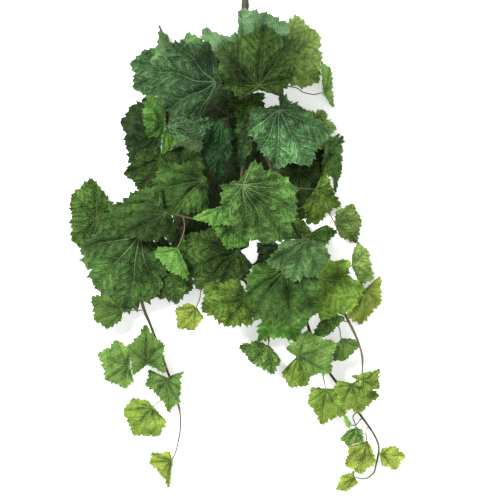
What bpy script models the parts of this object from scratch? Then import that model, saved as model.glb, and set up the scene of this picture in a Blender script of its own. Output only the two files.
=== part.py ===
"""A grapevine bush lying on its back: a woody stem, trailing shoots and lobed leaves on stalks of their own.

The leaves are laid from the back of the bush to its front, each one on those beneath it.
Metres, +Z up. +Y runs from the tips of the shoots to the cut end of the stem.
"""

import math
from dataclasses import dataclass

import bmesh
import bpy
import numpy as np
from mathutils import Vector
from mathutils.bvhtree import BVHTree

# Driving dimensions
BUSH_LENGTH = 0.800
VIEW_HEIGHT = 500
VIEW_WIDTH = 480
PIXEL = BUSH_LENGTH / VIEW_HEIGHT
BLADE_THICKNESS = 0.0008
STALK_NOTCH = 0.10
LARGE_LEAF = 0.075
POINTS_PER_BAY = 2
LARGE_STALK_RADIUS = 0.0013
SMALL_STALK_RADIUS = 0.0009

# Clearances between pieces
TOUCH_GAP = 0.0004
LAY_GAP = 0.0012
SAFE_SHARE = 0.3

# The stalk leaves the blade straight, then turns towards its shoot: shares of HUB_DEPTH
HUB_DEPTH = 0.0080
HUB_WIDTH = 0.0070
STRAIGHT_SHARE = 0.45
BEND_DEPTH_SHARE = 0.75
BEND_REACH_SHARE = 0.70
SHOOT_POINTS_TRIED = 40
HEIGHT_WEIGHT = 0.6

# The height map, and how close together a piece is sampled on it
CELL = 0.0020
SAMPLE = 0.0012
STALK_SAMPLE = 0.0010
MAP_MARGIN = 20


@dataclass
class Leaf:
    """A leaf as the viewer sees it: x runs right and y runs down, in units of PIXEL.

    hub is where the stalk meets the blade. tips are the ends of the lobes, in order round the blade.
    slope is the rise towards the viewer for each step right and each step up. cup bends the rim back,
    fold bends both halves back from the midrib, and notch is the depth of a wide bay between lobes.
    via are points that the stalk passes on its way to a shoot. grown_on names the shoot that a small leaf
    is one piece with. A leaf that faces back has its stalk on the viewer's side.
    """

    name: str
    hub: tuple
    tips: tuple
    slope: tuple = (0.0, 0.0)
    cup: float = 0.12
    fold: float = 0.0
    notch: float = 0.08
    via: tuple = ()
    age: str = "old"
    grown_on: str = ""
    faces_back: bool = False


@dataclass
class Shoot:
    """A woody shoot: the points of its axis as (x, y) in units of PIXEL and heights in millimetres."""

    name: str
    points: tuple
    radius_mm: tuple


BACK = (
    Leaf("back_leaf_upper", (226, 96),
         ((222, 60), (186, 62), (160, 104), (190, 140), (228, 132)), (0.22, 0.05),
         cup=-0.12, faces_back=True),
    Leaf("back_leaf_lower", (222, 204),
         ((246, 190), (212, 174), (172, 195), (166, 242), (208, 262), (236, 236)),
         (0.15, 0.10), cup=-0.12, faces_back=True),
    Leaf("back_leaf_middle", (236, 150),
         ((240, 116), (200, 116), (162, 108), (168, 172), (206, 190), (246, 182)),
         (0.12, 0.0), cup=-0.10, faces_back=True),
    Leaf("inner_leaf_back", (262, 138),
         ((250, 126), (234, 158), (246, 186), (272, 184), (286, 168), (284, 146)),
         (-0.05, 0.10), cup=-0.12, faces_back=True),
    Leaf("left_leaf_dark", (158, 135),
         ((143, 101), (120, 119), (125, 146), (128, 170), (154, 172)), (0.30, 0.0)),
    Leaf("upper_left_leaf_olive", (168, 72),
         ((160, 44), (143, 49), (130, 62), (132, 87), (148, 97), (160, 94)),
         (0.25, 0.05), age="mid"),
    Leaf("shoulder_leaf", (180, 78),
         ((150, 60), (159, 46), (158, 22), (168, 41), (176, 48), (187, 30), (208, 42)),
         (0.1, -0.35), notch=0.0),
    Leaf("left_leaf_veined", (160, 160),
         ((158, 146), (138, 150), (122, 173), (138, 188), (162, 182)), (0.28, 0.1),
         age="mid"),
    Leaf("right_leaf_shaded", (300, 168),
         ((284, 156), (277, 188), (287, 218), (303, 220), (326, 192), (322, 158)),
         (-0.2, 0.15), via=((300, 152), (286, 146))),
    Leaf("right_edge_leaf", (332, 146),
         ((322, 142), (324, 170), (333, 178), (335, 191), (341, 168), (344, 136)),
         (-0.8, 0.1), fold=0.2, notch=0.03),
    Leaf("right_leaf_yellow", (318, 190),
         ((304, 206), (308, 224), (318, 224), (342, 204), (331, 184), (326, 166)),
         (-0.1, 0.3), age="young"),
    Leaf("right_leaf_olive", (306, 128),
         ((308, 111), (321, 108), (336, 129), (324, 146), (306, 144)), (-0.2, 0.2),
         age="young"),
    Leaf("right_leaf_small_dark", (303, 236),
         ((284, 216), (304, 218), (311, 231), (328, 222), (338, 231), (325, 246)), (-0.2, 0.1), notch=0.0),
    Leaf("right_side_leaf_high", (337, 223), ((337, 211), (354, 203), (363, 220), (358, 243), (341, 236)),
         (-0.2, -0.1), cup=0.3, notch=0.0, via=((328, 211), (318, 200)), age="mid"),
    Leaf("right_side_leaf_low", (354, 265), ((352, 254), (359, 242), (369, 250), (375, 279), (362, 285)),
         (-0.3, 0.1), fold=0.25, notch=0.0, age="mid"),
    Leaf("right_tip_leaf_yellow", (366, 292), ((382, 276), (382, 303), (362, 325), (349, 318), (349, 302)),
         (-0.45, 0.25), fold=0.3, notch=0.0, via=((358, 287), (346, 294)), age="young"),
    Leaf("middle_leaf_shaded", (284, 250),
         ((262, 230), (259, 244), (261, 258), (246, 266), (270, 279), (296, 260)), (0.0, 0.2), notch=0.0,
         cup=-0.12, faces_back=True),
)

SHOOTS = (
    Shoot("main_stem", ((245, -8, 78), (245, 15, 80), (243, 50, 80), (240, 85, 76), (238, 112, 72)),
          (6.0, 4.6)),
    Shoot("shoot_left", ((230, 118, 70), (214, 165, 66), (182, 230, 60), (152, 276, 50), (141, 298, 40),
                         (149, 323, 30), (158, 347, 23), (166, 370, 17), (174, 392, 13), (178, 407, 12),
                         (180, 421, 11), (179, 436, 10), (175, 454, 9), (171, 462, 9)), (3.2, 1.0)),
    Shoot("shoot_centre", ((239, 119, 68), (243, 160, 66), (238, 205, 60), (234, 250, 52), (250, 290, 42),
                           (266, 318, 34), (269, 342, 25)), (3.2, 1.6)),
    Shoot("shoot_right", ((247, 118, 70), (268, 160, 66), (288, 215, 60), (318, 268, 54), (340, 305, 44),
                          (357, 338, 34), (363, 358, 28), (363, 374, 24)), (3.2, 1.5)),
    Shoot("shoot_right_low", ((282, 214, 54), (290, 262, 46), (304, 312, 36), (318, 354, 26), (328, 371, 20),
                              (344, 392, 15), (359, 413, 13), (367, 424, 12), (375, 436, 11), (380, 448, 10),
                              (379, 460, 10), (374, 472, 9), (367, 478, 9), (358, 480, 9)), (2.6, 1.1)),
)

FRONT = (
    Leaf("shoot_left_end_leaf", (170, 463), ((169, 449), (149, 451), (148, 464), (160, 475), (170, 488)),
         (0.05, 0.15), notch=0.12, age="mid", grown_on="shoot_left"),
    Leaf("shoot_right_end_leaf", (355, 480), ((355, 473), (340, 476), (336, 494), (347, 495), (359, 485)),
         (-0.05, 0.1), notch=0.0, age="young", grown_on="shoot_right_low"),
    Leaf("shoot_right_small_leaf", (357, 430), ((350, 431), (339, 442), (349, 449), (364, 444), (364, 432)),
         (0.1, 0.2), via=((354, 418),), age="mid", grown_on="shoot_right_low"),
    Leaf("shoot_right_edge_leaf", (350, 428), ((351, 431), (346, 426), (344, 415), (348, 418), (352, 425)),
         (-0.9, 0.1), cup=0.05, notch=0.02, via=((357, 426),), age="mid", grown_on="shoot_right_low"),
    Leaf("crown_leaf_right", (288, 58),
         ((283, 24), (297, 13), (320, 33), (322, 58), (320, 83), (304, 88), (290, 86)),
         (-0.25, 0.0), cup=0.3, notch=0.03, age="mid"),
    Leaf("crown_leaf_back", (247, 74),
         ((204, 66), (202, 27), (221, 37), (237, 28), (242, 8), (268, 11), (288, 20), (290, 58)),
         (0.05, -0.15), notch=0.03),
    Leaf("arched_stalk_leaf", (325, 92),
         ((337, 107), (333, 96), (331, 80), (330, 65), (320, 57)), (-1.4, 0.0),
         via=((314, 94), (302, 93), (290, 86)), cup=0.1, notch=0.05, age="mid"),
    Leaf("inner_leaf_upper", (247, 97),
         ((228, 90), (227, 114), (242, 124), (262, 112), (262, 93)), (0.0, 0.1)),
    Leaf("inner_leaf_dark", (248, 128),
         ((236, 126), (231, 146), (240, 167), (252, 150)), (0.1, 0.3), notch=0.02),
    Leaf("narrow_hanging_leaf", (222, 124), ((208, 128), (201, 160), (218, 182), (230, 156), (232, 132)),
         (0.1, 0.45), fold=0.4, notch=0.02),
    Leaf("left_leaf_arched", (182, 172),
         ((160, 172), (161, 154), (181, 147), (200, 154), (206, 174)), (0.0, -0.3),
         notch=0.02, age="mid"),
    Leaf("left_leaf_wide", (204, 182),
         ((196, 164), (160, 166), (150, 188), (168, 213), (208, 213)), (0.2, 0.15),
         age="mid"),
    Leaf("left_leaf_bright", (163, 124),
         ((164, 96), (144, 95), (142, 117), (147, 136), (162, 136)), (0.35, 0.0),
         notch=0.02, age="bright"),
    Leaf("left_leaf_bright_small", (168, 130), ((163, 136), (164, 155), (171, 150), (178, 143), (175, 132)),
         (0.1, 0.4), notch=0.02, age="bright"),
    Leaf("left_leaf_crumpled", (169, 129), ((176, 117), (197, 117), (215, 124), (202, 141), (178, 143)),
         (-0.1, 0.1), fold=0.25),
    Leaf("upper_left_leaf_large", (217, 86), ((210, 47), (174, 46), (149, 72), (166, 112), (197, 121)),
         (0.22, 0.0), notch=0.04),
    Leaf("far_left_leaf", (97, 220),
         ((117, 206), (104, 190), (90, 175), (66, 194), (69, 241), (84, 251), (112, 238)),
         (0.2, 0.1), notch=0.0, age="mid"),
    Leaf("lower_left_leaf_dark", (172, 250),
         ((160, 238), (149, 262), (156, 294), (178, 307), (192, 290), (193, 258),
                                              (184, 238)), (0.1, 0.3)),
    Leaf("lower_left_leaf_large", (140, 236),
         ((112, 220), (79, 250), (94, 286), (126, 313), (157, 295), (172, 258)),
         (0.15, 0.2), notch=0.0),
    Leaf("left_leaf_shaded", (160, 206),
         ((160, 186), (138, 188), (117, 201), (97, 224), (116, 237)), (0.15, 0.1),
         via=((163, 220), (172, 224)), age="mid"),
    Leaf("left_leaf_folded", (168, 214),
         ((138, 200), (104, 218), (124, 235), (150, 241), (178, 237)), (0.1, 0.1),
         fold=0.5, notch=0.12, age="mid"),
    Leaf("middle_leaf_dark", (238, 252),
         ((247, 239), (226, 226), (184, 236), (187, 270), (197, 289), (220, 288), (247, 272)),
         (0.1, 0.1), notch=0.02),
    Leaf("skirt_leaf_left", (246, 299),
         ((239, 280), (205, 284), (202, 310), (226, 328), (253, 325)), (0.15, 0.2),
         notch=0.02, age="mid"),
    Leaf("skirt_leaf_bright", (284, 300),
         ((262, 304), (258, 342), (281, 337), (297, 343), (310, 318)), (0.0, 0.35),
         notch=0.04, age="bright"),
    Leaf("skirt_leaf_right_dark", (336, 316), ((330, 308), (312, 321), (311, 340), (329, 335), (345, 318)),
         (0.1, 0.2), notch=0.02),
    Leaf("skirt_leaf_right", (313, 276),
         ((318, 260), (351, 257), (348, 272), (367, 286), (352, 310), (320, 320)),
         (-0.2, 0.15), notch=0.0, age="mid"),
    Leaf("skirt_leaf_middle", (286, 268),
         ((255, 264), (248, 280), (253, 318), (290, 324), (317, 312), (317, 278)),
         (0.0, 0.2), notch=0.02),
    Leaf("middle_leaf_right", (304, 242),
         ((283, 241), (266, 262), (292, 281), (318, 273), (331, 257), (322, 242)),
         (0.0, 0.3), notch=0.02, age="mid"),
    Leaf("middle_leaf_bright", (229, 228), ((211, 224), (221, 240), (227, 249), (246, 247), (247, 234)),
         (0.0, 0.3), notch=0.02, age="bright"),
    Leaf("heart_leaf_bright", (221, 210),
         ((208, 211), (193, 219), (214, 226), (234, 226), (237, 215)), (0.1, 1.0),
         fold=0.2, age="bright"),
    Leaf("heart_leaf", (243, 187), ((252, 164), (284, 180), (296, 190), (291, 226), (263, 240), (244, 238),
                                    (222, 213), (222, 186)), (0.0, 0.2), notch=0.06),
    Leaf("front_leaf_right", (279, 111),
         ((281, 95), (304, 108), (332, 134), (310, 166), (276, 169), (260, 151),
                                          (248, 134), (251, 112)), (-0.2, 0.15), notch=0.10),
    Leaf("crown_leaf_front", (259, 90),
         ((242, 98), (216, 86), (221, 48), (264, 24), (292, 46), (291, 82), (276, 95)),
         (0.0, -0.15), notch=0.03),
    Leaf("hanging_leaf_bright", (177, 250), ((160, 247), (153, 253), (171, 271), (189, 280), (184, 262)),
         (0.2, 0.3), fold=0.5, notch=0.02, via=((181, 242), (185, 228), (184, 210)), age="bright"),
    Leaf("hanging_leaf_small", (196, 308), ((188, 303), (176, 309), (178, 329), (194, 331), (204, 317)),
         (0.1, 0.1), notch=0.0, via=((200, 298), (205, 286)), age="young"),
    Leaf("strand_left_leaf_1", (121, 311),
         ((111, 293), (91, 297), (94, 321), (107, 329), (120, 320)), (0.15, 0.1),
         notch=0.0, age="mid"),
    Leaf("strand_left_leaf_2", (126, 367),
         ((132, 350), (116, 338), (97, 353), (106, 383), (124, 390)), (0.15, 0.1),
         notch=0.06, age="mid"),
    Leaf("strand_left_leaf_3", (147, 362),
         ((134, 379), (128, 347), (146, 325), (166, 344), (165, 373)), (-0.1, -0.2),
         notch=0.06, age="mid"),
    Leaf("strand_left_leaf_4", (167, 381),
         ((151, 371), (143, 385), (165, 412), (183, 406), (184, 372)), (0.0, 0.1),
         notch=0.20, fold=0.2, age="mid", grown_on="shoot_left"),
    Leaf("strand_left_leaf_5", (151, 410),
         ((142, 398), (128, 400), (122, 412), (132, 436), (158, 437), (166, 421)), (0.05, 0.1), notch=0.0,
         via=((160, 402),), age="mid", grown_on="shoot_left"),
    Leaf("strand_right_leaf_1", (268, 348),
         ((257, 339), (237, 348), (252, 364), (273, 375), (281, 361)), (0.15, 0.2),
         fold=0.2, notch=0.02),
    Leaf("strand_right_leaf_2", (298, 358),
         ((290, 366), (283, 376), (291, 389), (308, 387), (313, 371)), (0.0, 0.15),
         notch=0.0, age="bright"),
    Leaf("strand_right_leaf_3", (342, 340),
         ((337, 342), (333, 361), (345, 361), (360, 347), (356, 337)), (-0.1, 0.1),
         notch=0.0, via=((340, 330), (337, 320)), age="mid", grown_on="shoot_right"),
    Leaf("strand_right_leaf_4", (299, 355),
         ((286, 348), (306, 331), (338, 341), (331, 373), (310, 375)), (-0.15, 0.0),
         notch=0.04, age="bright"),
    Leaf("strand_right_leaf_5", (326, 391),
         ((311, 388), (308, 403), (322, 426), (346, 415), (346, 391)), (0.0, 0.1),
         via=((325, 384), (323, 372)), notch=0.06, age="mid", grown_on="shoot_right_low"),
    Leaf("strand_right_leaf_6", (352, 385),
         ((337, 378), (335, 386), (343, 409), (361, 413), (380, 396), (359, 384)), (0.0, 0.15),
         notch=0.02, age="mid"),
    Leaf("strand_right_leaf_7", (363, 381),
         ((351, 376), (366, 372), (380, 369), (380, 388), (364, 395)), (-0.1, 0.1),
         via=((363, 365),), age="young", grown_on="shoot_right"),
    Leaf("strand_right_leaf_8", (367, 444),
         ((349, 446), (343, 467), (360, 474), (375, 462), (373, 447)), (0.1, 0.15),
         notch=0.02, via=((367, 430),), age="young", grown_on="shoot_right_low"),
    Leaf("strand_right_leaf_9", (382, 456), ((384, 448), (397, 445), (408, 457), (397, 470), (383, 466)),
         (-0.1, 0.05), notch=0.04, age="young", grown_on="shoot_right_low"),
)

LEAF_COLOURS = {
    "old": (0.075, 0.150, 0.060, 1),
    "mid": (0.110, 0.220, 0.060, 1),
    "bright": (0.130, 0.330, 0.070, 1),
    "young": (0.260, 0.370, 0.060, 1),
}
LEAF_ROUGHNESS = 0.55
BARK = (0.090, 0.075, 0.050, 1)
BARK_ROUGHNESS = 0.80


def place(x, y):
    """Ground position in metres of a point seen at x, y."""
    return x * PIXEL, -y * PIXEL


def clear_scene():
    """Remove every object of the start-up scene."""
    for existing in list(bpy.data.objects):
        bpy.data.objects.remove(existing, do_unlink=True)


def new_collection(name, hidden=False):
    """A collection of the scene, kept out of renders if hidden."""
    made = bpy.data.collections.new(name)
    made.hide_render = hidden
    bpy.context.scene.collection.children.link(made)
    return made


def new_material(name, colour, roughness):
    """A plain surface of one colour."""
    made = bpy.data.materials.new(name)
    made.use_nodes = True
    surface = made.node_tree.nodes["Principled BSDF"]
    surface.inputs["Base Color"].default_value = colour
    surface.inputs["Roughness"].default_value = roughness
    return made


def rim_of(leaf, points_per_bay):
    """Points round the rim of a flat blade, as steps from its hub: lobes, bays and the notch at the stalk."""
    steps = [np.subtract(place(*tip), place(*leaf.hub)) for tip in leaf.tips]
    reach = np.mean([np.hypot(*step) for step in steps])
    middle = np.mean([step / np.hypot(*step) for step in steps], axis=0)
    steps.append(-middle / max(np.hypot(*middle), 0.2) * STALK_NOTCH * reach)
    rim = []
    for index, start in enumerate(steps):
        end = steps[(index + 1) % len(steps)]
        at_stalk = index >= len(steps) - 2
        depth = 0.0 if at_stalk else leaf.notch * min(1.0, np.hypot(*(end - start)) / reach)
        for part in range(points_per_bay):
            share = part / points_per_bay
            chord = start * (1 - share) + end * share
            rim.append(chord * (1 - depth * math.sin(math.pi * share)))
    return rim


def height_of(leaf, step):
    """Height above the hub of the blade's mid surface, at a step in metres from the hub."""
    steps = [np.subtract(place(*tip), place(*leaf.hub)) for tip in leaf.tips]
    reach = np.mean([np.hypot(*each) for each in steps])
    apex = steps[len(steps) // 2]
    across = abs(step[0] * apex[1] - step[1] * apex[0]) / np.hypot(*apex)
    distance = np.hypot(*step)
    rise = leaf.slope[0] * step[0] + leaf.slope[1] * step[1]
    return rise - leaf.cup * distance**2 / reach - leaf.fold * across


def blade_mesh(leaf):
    """The open surface of a blade about its hub: a disc drawn out to the leaf's rim."""
    large = reach_of(leaf) > LARGE_LEAF
    rim = rim_of(leaf, POINTS_PER_BAY)
    sheet = bmesh.new()
    bmesh.ops.create_circle(sheet, cap_ends=True, cap_tris=True, segments=len(rim), radius=1)
    if large:
        spokes = [edge for edge in sheet.edges if min(v.co.length for v in edge.verts) < 0.5]
        bmesh.ops.subdivide_edges(sheet, edges=spokes, cuts=1)
        bmesh.ops.triangulate(sheet, faces=sheet.faces)
    for vertex in sheet.verts:
        share = min(vertex.co.length, 1)
        turn = math.atan2(vertex.co.y, vertex.co.x) / (2 * math.pi)
        step = rim[round(turn * len(rim)) % len(rim)] * share
        vertex.co = (step[0], step[1], height_of(leaf, step))
    mesh = bpy.data.meshes.new(leaf.name)
    if sum(face.normal.z * face.calc_area() for face in normals_of(sheet)) < 0:
        bmesh.ops.reverse_faces(sheet, faces=sheet.faces)
    sheet.to_mesh(mesh)
    sheet.free()
    return mesh


def normals_of(sheet):
    """The sheet's faces, with their normals worked out."""
    sheet.normal_update()
    return sheet.faces


def samples_of(mesh):
    """Points spread over every face of a mesh, close enough to leave no cell of the height map out."""
    corners = np.array([[tuple(mesh.vertices[i].co) for i in face.vertices] for face in mesh.polygons])
    points = []
    for a, b, c in corners:
        steps = max(2, math.ceil(max(np.linalg.norm(b - a), np.linalg.norm(c - a)) / SAMPLE))
        u, v = np.meshgrid(np.arange(steps + 1) / steps, np.arange(steps + 1) / steps)
        inside = u + v <= 1 + 1e-9
        u, v = u[inside][:, None], v[inside][:, None]
        points.append(a + u * (b - a) + v * (c - a))
    return np.concatenate(points)


class HeightMap:
    """The top of all that has been laid down so far, cell by cell."""

    def __init__(self):
        self.size = (int(VIEW_WIDTH * PIXEL / CELL), int((VIEW_HEIGHT + 2 * MAP_MARGIN) * PIXEL / CELL))
        self.top = np.zeros(self.size)

    def cells(self, points):
        """Row and column of each point."""
        columns = np.clip((points[:, 0] / CELL).astype(int), 1, self.size[0] - 2)
        rows = np.clip(((MAP_MARGIN * PIXEL - points[:, 1]) / CELL).astype(int), 1, self.size[1] - 2)
        return columns, rows

    def rest(self, points, gap):
        """The rise that lays these points a gap above everything beneath them, and none below the ground."""
        columns, rows = self.cells(points)
        beneath = np.zeros(len(points))
        for dx in (-1, 0, 1):
            for dy in (-1, 0, 1):
                beneath = np.maximum(beneath, self.top[columns + dx, rows + dy])
        return float(np.max(np.where(beneath > 0, beneath + gap, 0) - points[:, 2]))

    def add(self, points):
        """Raise the map to these points."""
        columns, rows = self.cells(points)
        np.maximum.at(self.top, (columns, rows), points[:, 2])


def smooth_line(points, steps):
    """Points along a smooth curve through the given ones."""
    line = []
    count = len(points)
    for i in range(count - 1):
        before = points[max(i - 1, 0)]
        after = points[min(i + 2, count - 1)]
        start, end = points[i], points[i + 1]
        for part in range(steps):
            t = part / steps
            bow = 2 * before - 5 * start + 4 * end - after
            twist = 3 * start - before - 3 * end + after
            line.append(0.5 * (2 * start + (end - before) * t + bow * t**2 + twist * t**3))
    line.append(points[-1])
    return line


def tube_object(name, line, radii, collection, sides):
    """A closed round tube along a line of points, as a mesh object."""
    curve = bpy.data.curves.new(name + "_axis", "CURVE")
    curve.dimensions = "3D"
    curve.bevel_depth = 1.0
    curve.bevel_resolution = sides
    curve.use_fill_caps = True
    spline = curve.splines.new("POLY")
    spline.points.add(len(line) - 1)
    for point, place_at, radius in zip(spline.points, line, radii):
        point.co = (*place_at, 1)
        point.radius = radius
    guide = bpy.data.objects.new(name + "_guide", curve)
    collection.objects.link(guide)
    bpy.context.view_layer.update()
    evaluated = guide.evaluated_get(bpy.context.evaluated_depsgraph_get())
    mesh = bpy.data.meshes.new_from_object(evaluated)
    bpy.data.objects.remove(guide, do_unlink=True)
    welded = bmesh.new()
    welded.from_mesh(mesh)
    bmesh.ops.remove_doubles(welded, verts=welded.verts, dist=1e-6)
    bmesh.ops.recalc_face_normals(welded, faces=welded.faces)
    welded.to_mesh(mesh)
    welded.free()
    mesh.name = name
    tube = bpy.data.objects.new(name, mesh)
    collection.objects.link(tube)
    return tube


def thicken(blade):
    """Give an open blade its thickness, below its face."""
    solid = blade.modifiers.new("thickness", "SOLIDIFY")
    solid.thickness = BLADE_THICKNESS
    solid.offset = -1
    solid.use_even_offset = False


def join(target, other):
    """Grow another mesh object into a target."""
    union = target.modifiers.new("grown_" + other.name, "BOOLEAN")
    union.operation = "UNION"
    union.object = other
    union.solver = "MANIFOLD"


def tree_of(objects):
    """One search tree over the faces of several placed mesh objects."""
    vertices = []
    faces = []
    for each in objects:
        start = len(vertices)
        vertices.extend(each.matrix_world @ vertex.co for vertex in each.data.vertices)
        faces.extend([start + i for i in face.vertices] for face in each.data.polygons)
    return BVHTree.FromPolygons(vertices, faces)


def stalk_line(hub, away, ends):
    """The axis of a stalk: from inside the blade, straight away from it, then through the points given."""
    inside = hub + Vector((0, 0, -0.5 * BLADE_THICKNESS))
    below = hub + away * (HUB_DEPTH * STRAIGHT_SHARE)
    turned = (ends[0] - hub).normalized()
    bend = hub + away * (HUB_DEPTH * BEND_DEPTH_SHARE) + turned * (HUB_DEPTH * BEND_REACH_SHARE)
    route = [np.array(point) for point in (below, bend, *ends)]
    return [inside] + [Vector(point) for point in route]


def reach_of(leaf):
    """Length in metres of a leaf's longest lobe, as seen."""
    return max(np.hypot(*np.subtract(place(*tip), place(*leaf.hub))) for tip in leaf.tips)


class Bush:
    """Lays the pieces of the bush down, back to front, and then grows the stalks."""

    def __init__(self):
        self.parts = new_collection("grapevine")
        self.joined = new_collection("grapevine_joined_pieces", hidden=True)
        self.heights = HeightMap()
        self.materials = {
            age: new_material("leaf_" + age, colour, LEAF_ROUGHNESS) for age, colour in LEAF_COLOURS.items()
        }
        self.bark = new_material("bark", BARK, BARK_ROUGHNESS)
        self.blades = {}
        self.shoots = {}
        self.axes = {}
        self.stalks = []

    def lay_leaf(self, leaf):
        """Lay one blade on all that is beneath it."""
        mesh = blade_mesh(leaf)
        x, y = place(*leaf.hub)
        under = samples_of(mesh) - (0, 0, BLADE_THICKNESS)
        turns = np.arange(8) * math.pi / 4
        hub_ring = np.stack([np.cos(turns), np.sin(turns), 0 * turns], axis=1) * HUB_WIDTH - (0, 0, HUB_DEPTH)
        touching = under if leaf.faces_back else np.concatenate([under, hub_ring])
        z = self.heights.rest(touching + (x, y, 0), LAY_GAP)
        self.heights.add(under + (x, y, z + BLADE_THICKNESS))
        blade = bpy.data.objects.new(leaf.name, mesh)
        blade.location = (x, y, z)
        self.parts.objects.link(blade)
        mesh.materials.append(self.materials[leaf.age])
        self.blades[leaf.name] = blade

    def lay_shoot(self, shoot):
        """Lay one shoot through its points, over whatever is beneath it."""
        first, last = (radius / 1000 for radius in shoot.radius_mm)
        points = [np.array((*place(x, y), z / 1000)) for x, y, z in shoot.points]
        line = smooth_line(points, 2)
        radii = np.linspace(first, last, len(line))
        for point, radius in zip(line, radii):
            under = [point + (dx * radius, dy * radius, -radius) for dx in (-1, 0, 1) for dy in (-1, 0, 1)]
            point[2] += max(0.0, self.heights.rest(np.array(under), LAY_GAP))
        line = [Vector(point) for point in line]
        tube = tube_object(shoot.name, line, radii, self.parts, 1)
        tube.data.materials.append(self.bark)
        self.shoots[shoot.name] = tube
        self.axes[shoot.name] = list(zip(line, radii))
        upper = [np.array(a.lerp(b, share)) + (0, 0, radius)
                 for a, b, radius in zip(line, line[1:], radii) for share in np.linspace(0, 1, 12)]
        self.heights.add(np.array(upper))

    def clear_part(self, line, blades, shoots, own, radius):
        """The first stretch of a line that keeps clear of other pieces and, past the hub, of its own blade."""
        kept = line[:2]
        for before, point in zip(line[1:], line[2:]):
            for share in np.linspace(0, 1, 2 + int((point - before).length / STALK_SAMPLE))[1:]:
                here = before.lerp(point, share)
                blade_gap = min(blades.find_nearest(here)[3], own.find_nearest(here)[3]) - BLADE_THICKNESS
                shoot_gap = shoots.find_nearest(here)[3]
                if min(blade_gap, shoot_gap, here.z) < radius + SAFE_SHARE * TOUCH_GAP:
                    return kept
            kept = kept + [point]
        return kept

    def stalk_route(self, leaf, radius):
        """The axis of a leaf's stalk, to the nearest point of a shoot that it reaches clear of other pieces."""
        bpy.context.view_layer.update()
        blade = self.blades[leaf.name]
        hub = Vector(blade.location)
        away = Vector((leaf.slope[0], leaf.slope[1], -1)).normalized() * (-1 if leaf.faces_back else 1)
        blades = tree_of([each for each in self.blades.values() if each != blade])
        others = [each for name, each in self.shoots.items() if name != leaf.grown_on]
        shoots = tree_of(others + self.stalks)
        own = tree_of([blade])
        start = Vector((*place(*leaf.via[-1]), hub.z)) if leaf.via else hub
        targets = [target for name, axis in self.axes.items() if leaf.grown_on in ("", name) for target in axis]
        targets.sort(key=lambda at: (at[0].xy - start.xy).length + HEIGHT_WEIGHT * abs(at[0].z - hub.z))
        best = []
        for point, size in targets[:SHOOT_POINTS_TRIED]:
            gap = 0 if leaf.grown_on else size + radius + TOUCH_GAP
            end = point - (point - start).normalized() * gap
            heights = np.linspace(hub.z, end.z, len(leaf.via) + 2)[1:]
            ends = [Vector((*place(*via), height)) for via, height in zip(leaf.via, heights)] + [end]
            line = stalk_line(hub, away, ends)
            clear = self.clear_part(line, blades, shoots, own, radius)
            if len(clear) > len(best):
                best = clear
            if len(clear) == len(line):
                break
        return best

    def grow_stalk(self, leaf):
        """Grow one leaf's stalk, as part of the leaf."""
        radius = LARGE_STALK_RADIUS if reach_of(leaf) > LARGE_LEAF else SMALL_STALK_RADIUS
        line = self.stalk_route(leaf, radius)
        stalk = tube_object(leaf.name + "_stalk", line, [radius] * len(line), self.joined, 0)
        self.stalks.append(stalk)
        join(self.blades[leaf.name], stalk)

    def grow_into_shoot(self, leaf):
        """Make a small leaf one piece with the shoot that carries it."""
        blade = self.blades[leaf.name]
        self.parts.objects.unlink(blade)
        self.joined.objects.link(blade)
        join(self.shoots[leaf.grown_on], blade)

    def finish_leaves(self):
        """Thicken the blades, grow every stalk, and make the small leaves one with their shoots."""
        for leaf in BACK + FRONT:
            thicken(self.blades[leaf.name])
            self.grow_stalk(leaf)
        for leaf in FRONT:
            if leaf.grown_on:
                self.grow_into_shoot(leaf)
        for piece in self.joined.objects:
            piece.display_type = "WIRE"
            piece.hide_render = True


def set_on_origin(pieces):
    """Move all pieces so that the middle of their common box's lower face is at the origin."""
    bpy.context.view_layer.update()
    graph = bpy.context.evaluated_depsgraph_get()
    corners = []
    for piece in pieces:
        evaluated = piece.evaluated_get(graph)
        corners.extend(evaluated.matrix_world @ Vector(corner) for corner in evaluated.bound_box)
    low = Vector(map(min, zip(*corners)))
    high = Vector(map(max, zip(*corners)))
    middle = Vector(((low.x + high.x) / 2, (low.y + high.y) / 2, low.z))
    for placed in bpy.data.objects:
        placed.location -= middle
    return high - low


def main():
    """Build the bush: leaves at the back, then the shoots, then the leaves in front, then every stalk."""
    clear_scene()
    bush = Bush()
    for leaf in BACK:
        bush.lay_leaf(leaf)
    for shoot in SHOOTS:
        bush.lay_shoot(shoot)
    for leaf in FRONT:
        bush.lay_leaf(leaf)
    bush.finish_leaves()
    size = set_on_origin(bush.parts.objects)
    print(f"{len(bush.parts.objects)} pieces, {size.x:.3f} x {size.y:.3f} x {size.z:.3f} m")


main()
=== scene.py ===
"""The finished look of a grapevine bush that lies on its back: cloth leaves on thin stalks over woody shoots.

Each leaf and shoot of the frame is replaced by a finer piece in the same place: blades with puckered veins
and cut teeth, tapered stalks, and shoots with swollen nodes and ridged bark. Metres, +Z up, +Y towards the
cut stem.
"""

from __future__ import annotations

import logging
import math
import random
from dataclasses import dataclass
from enum import Enum
from functools import cache

import bmesh
import bpy
import numpy as np
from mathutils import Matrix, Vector, noise
from mathutils.bvhtree import BVHTree

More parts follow.
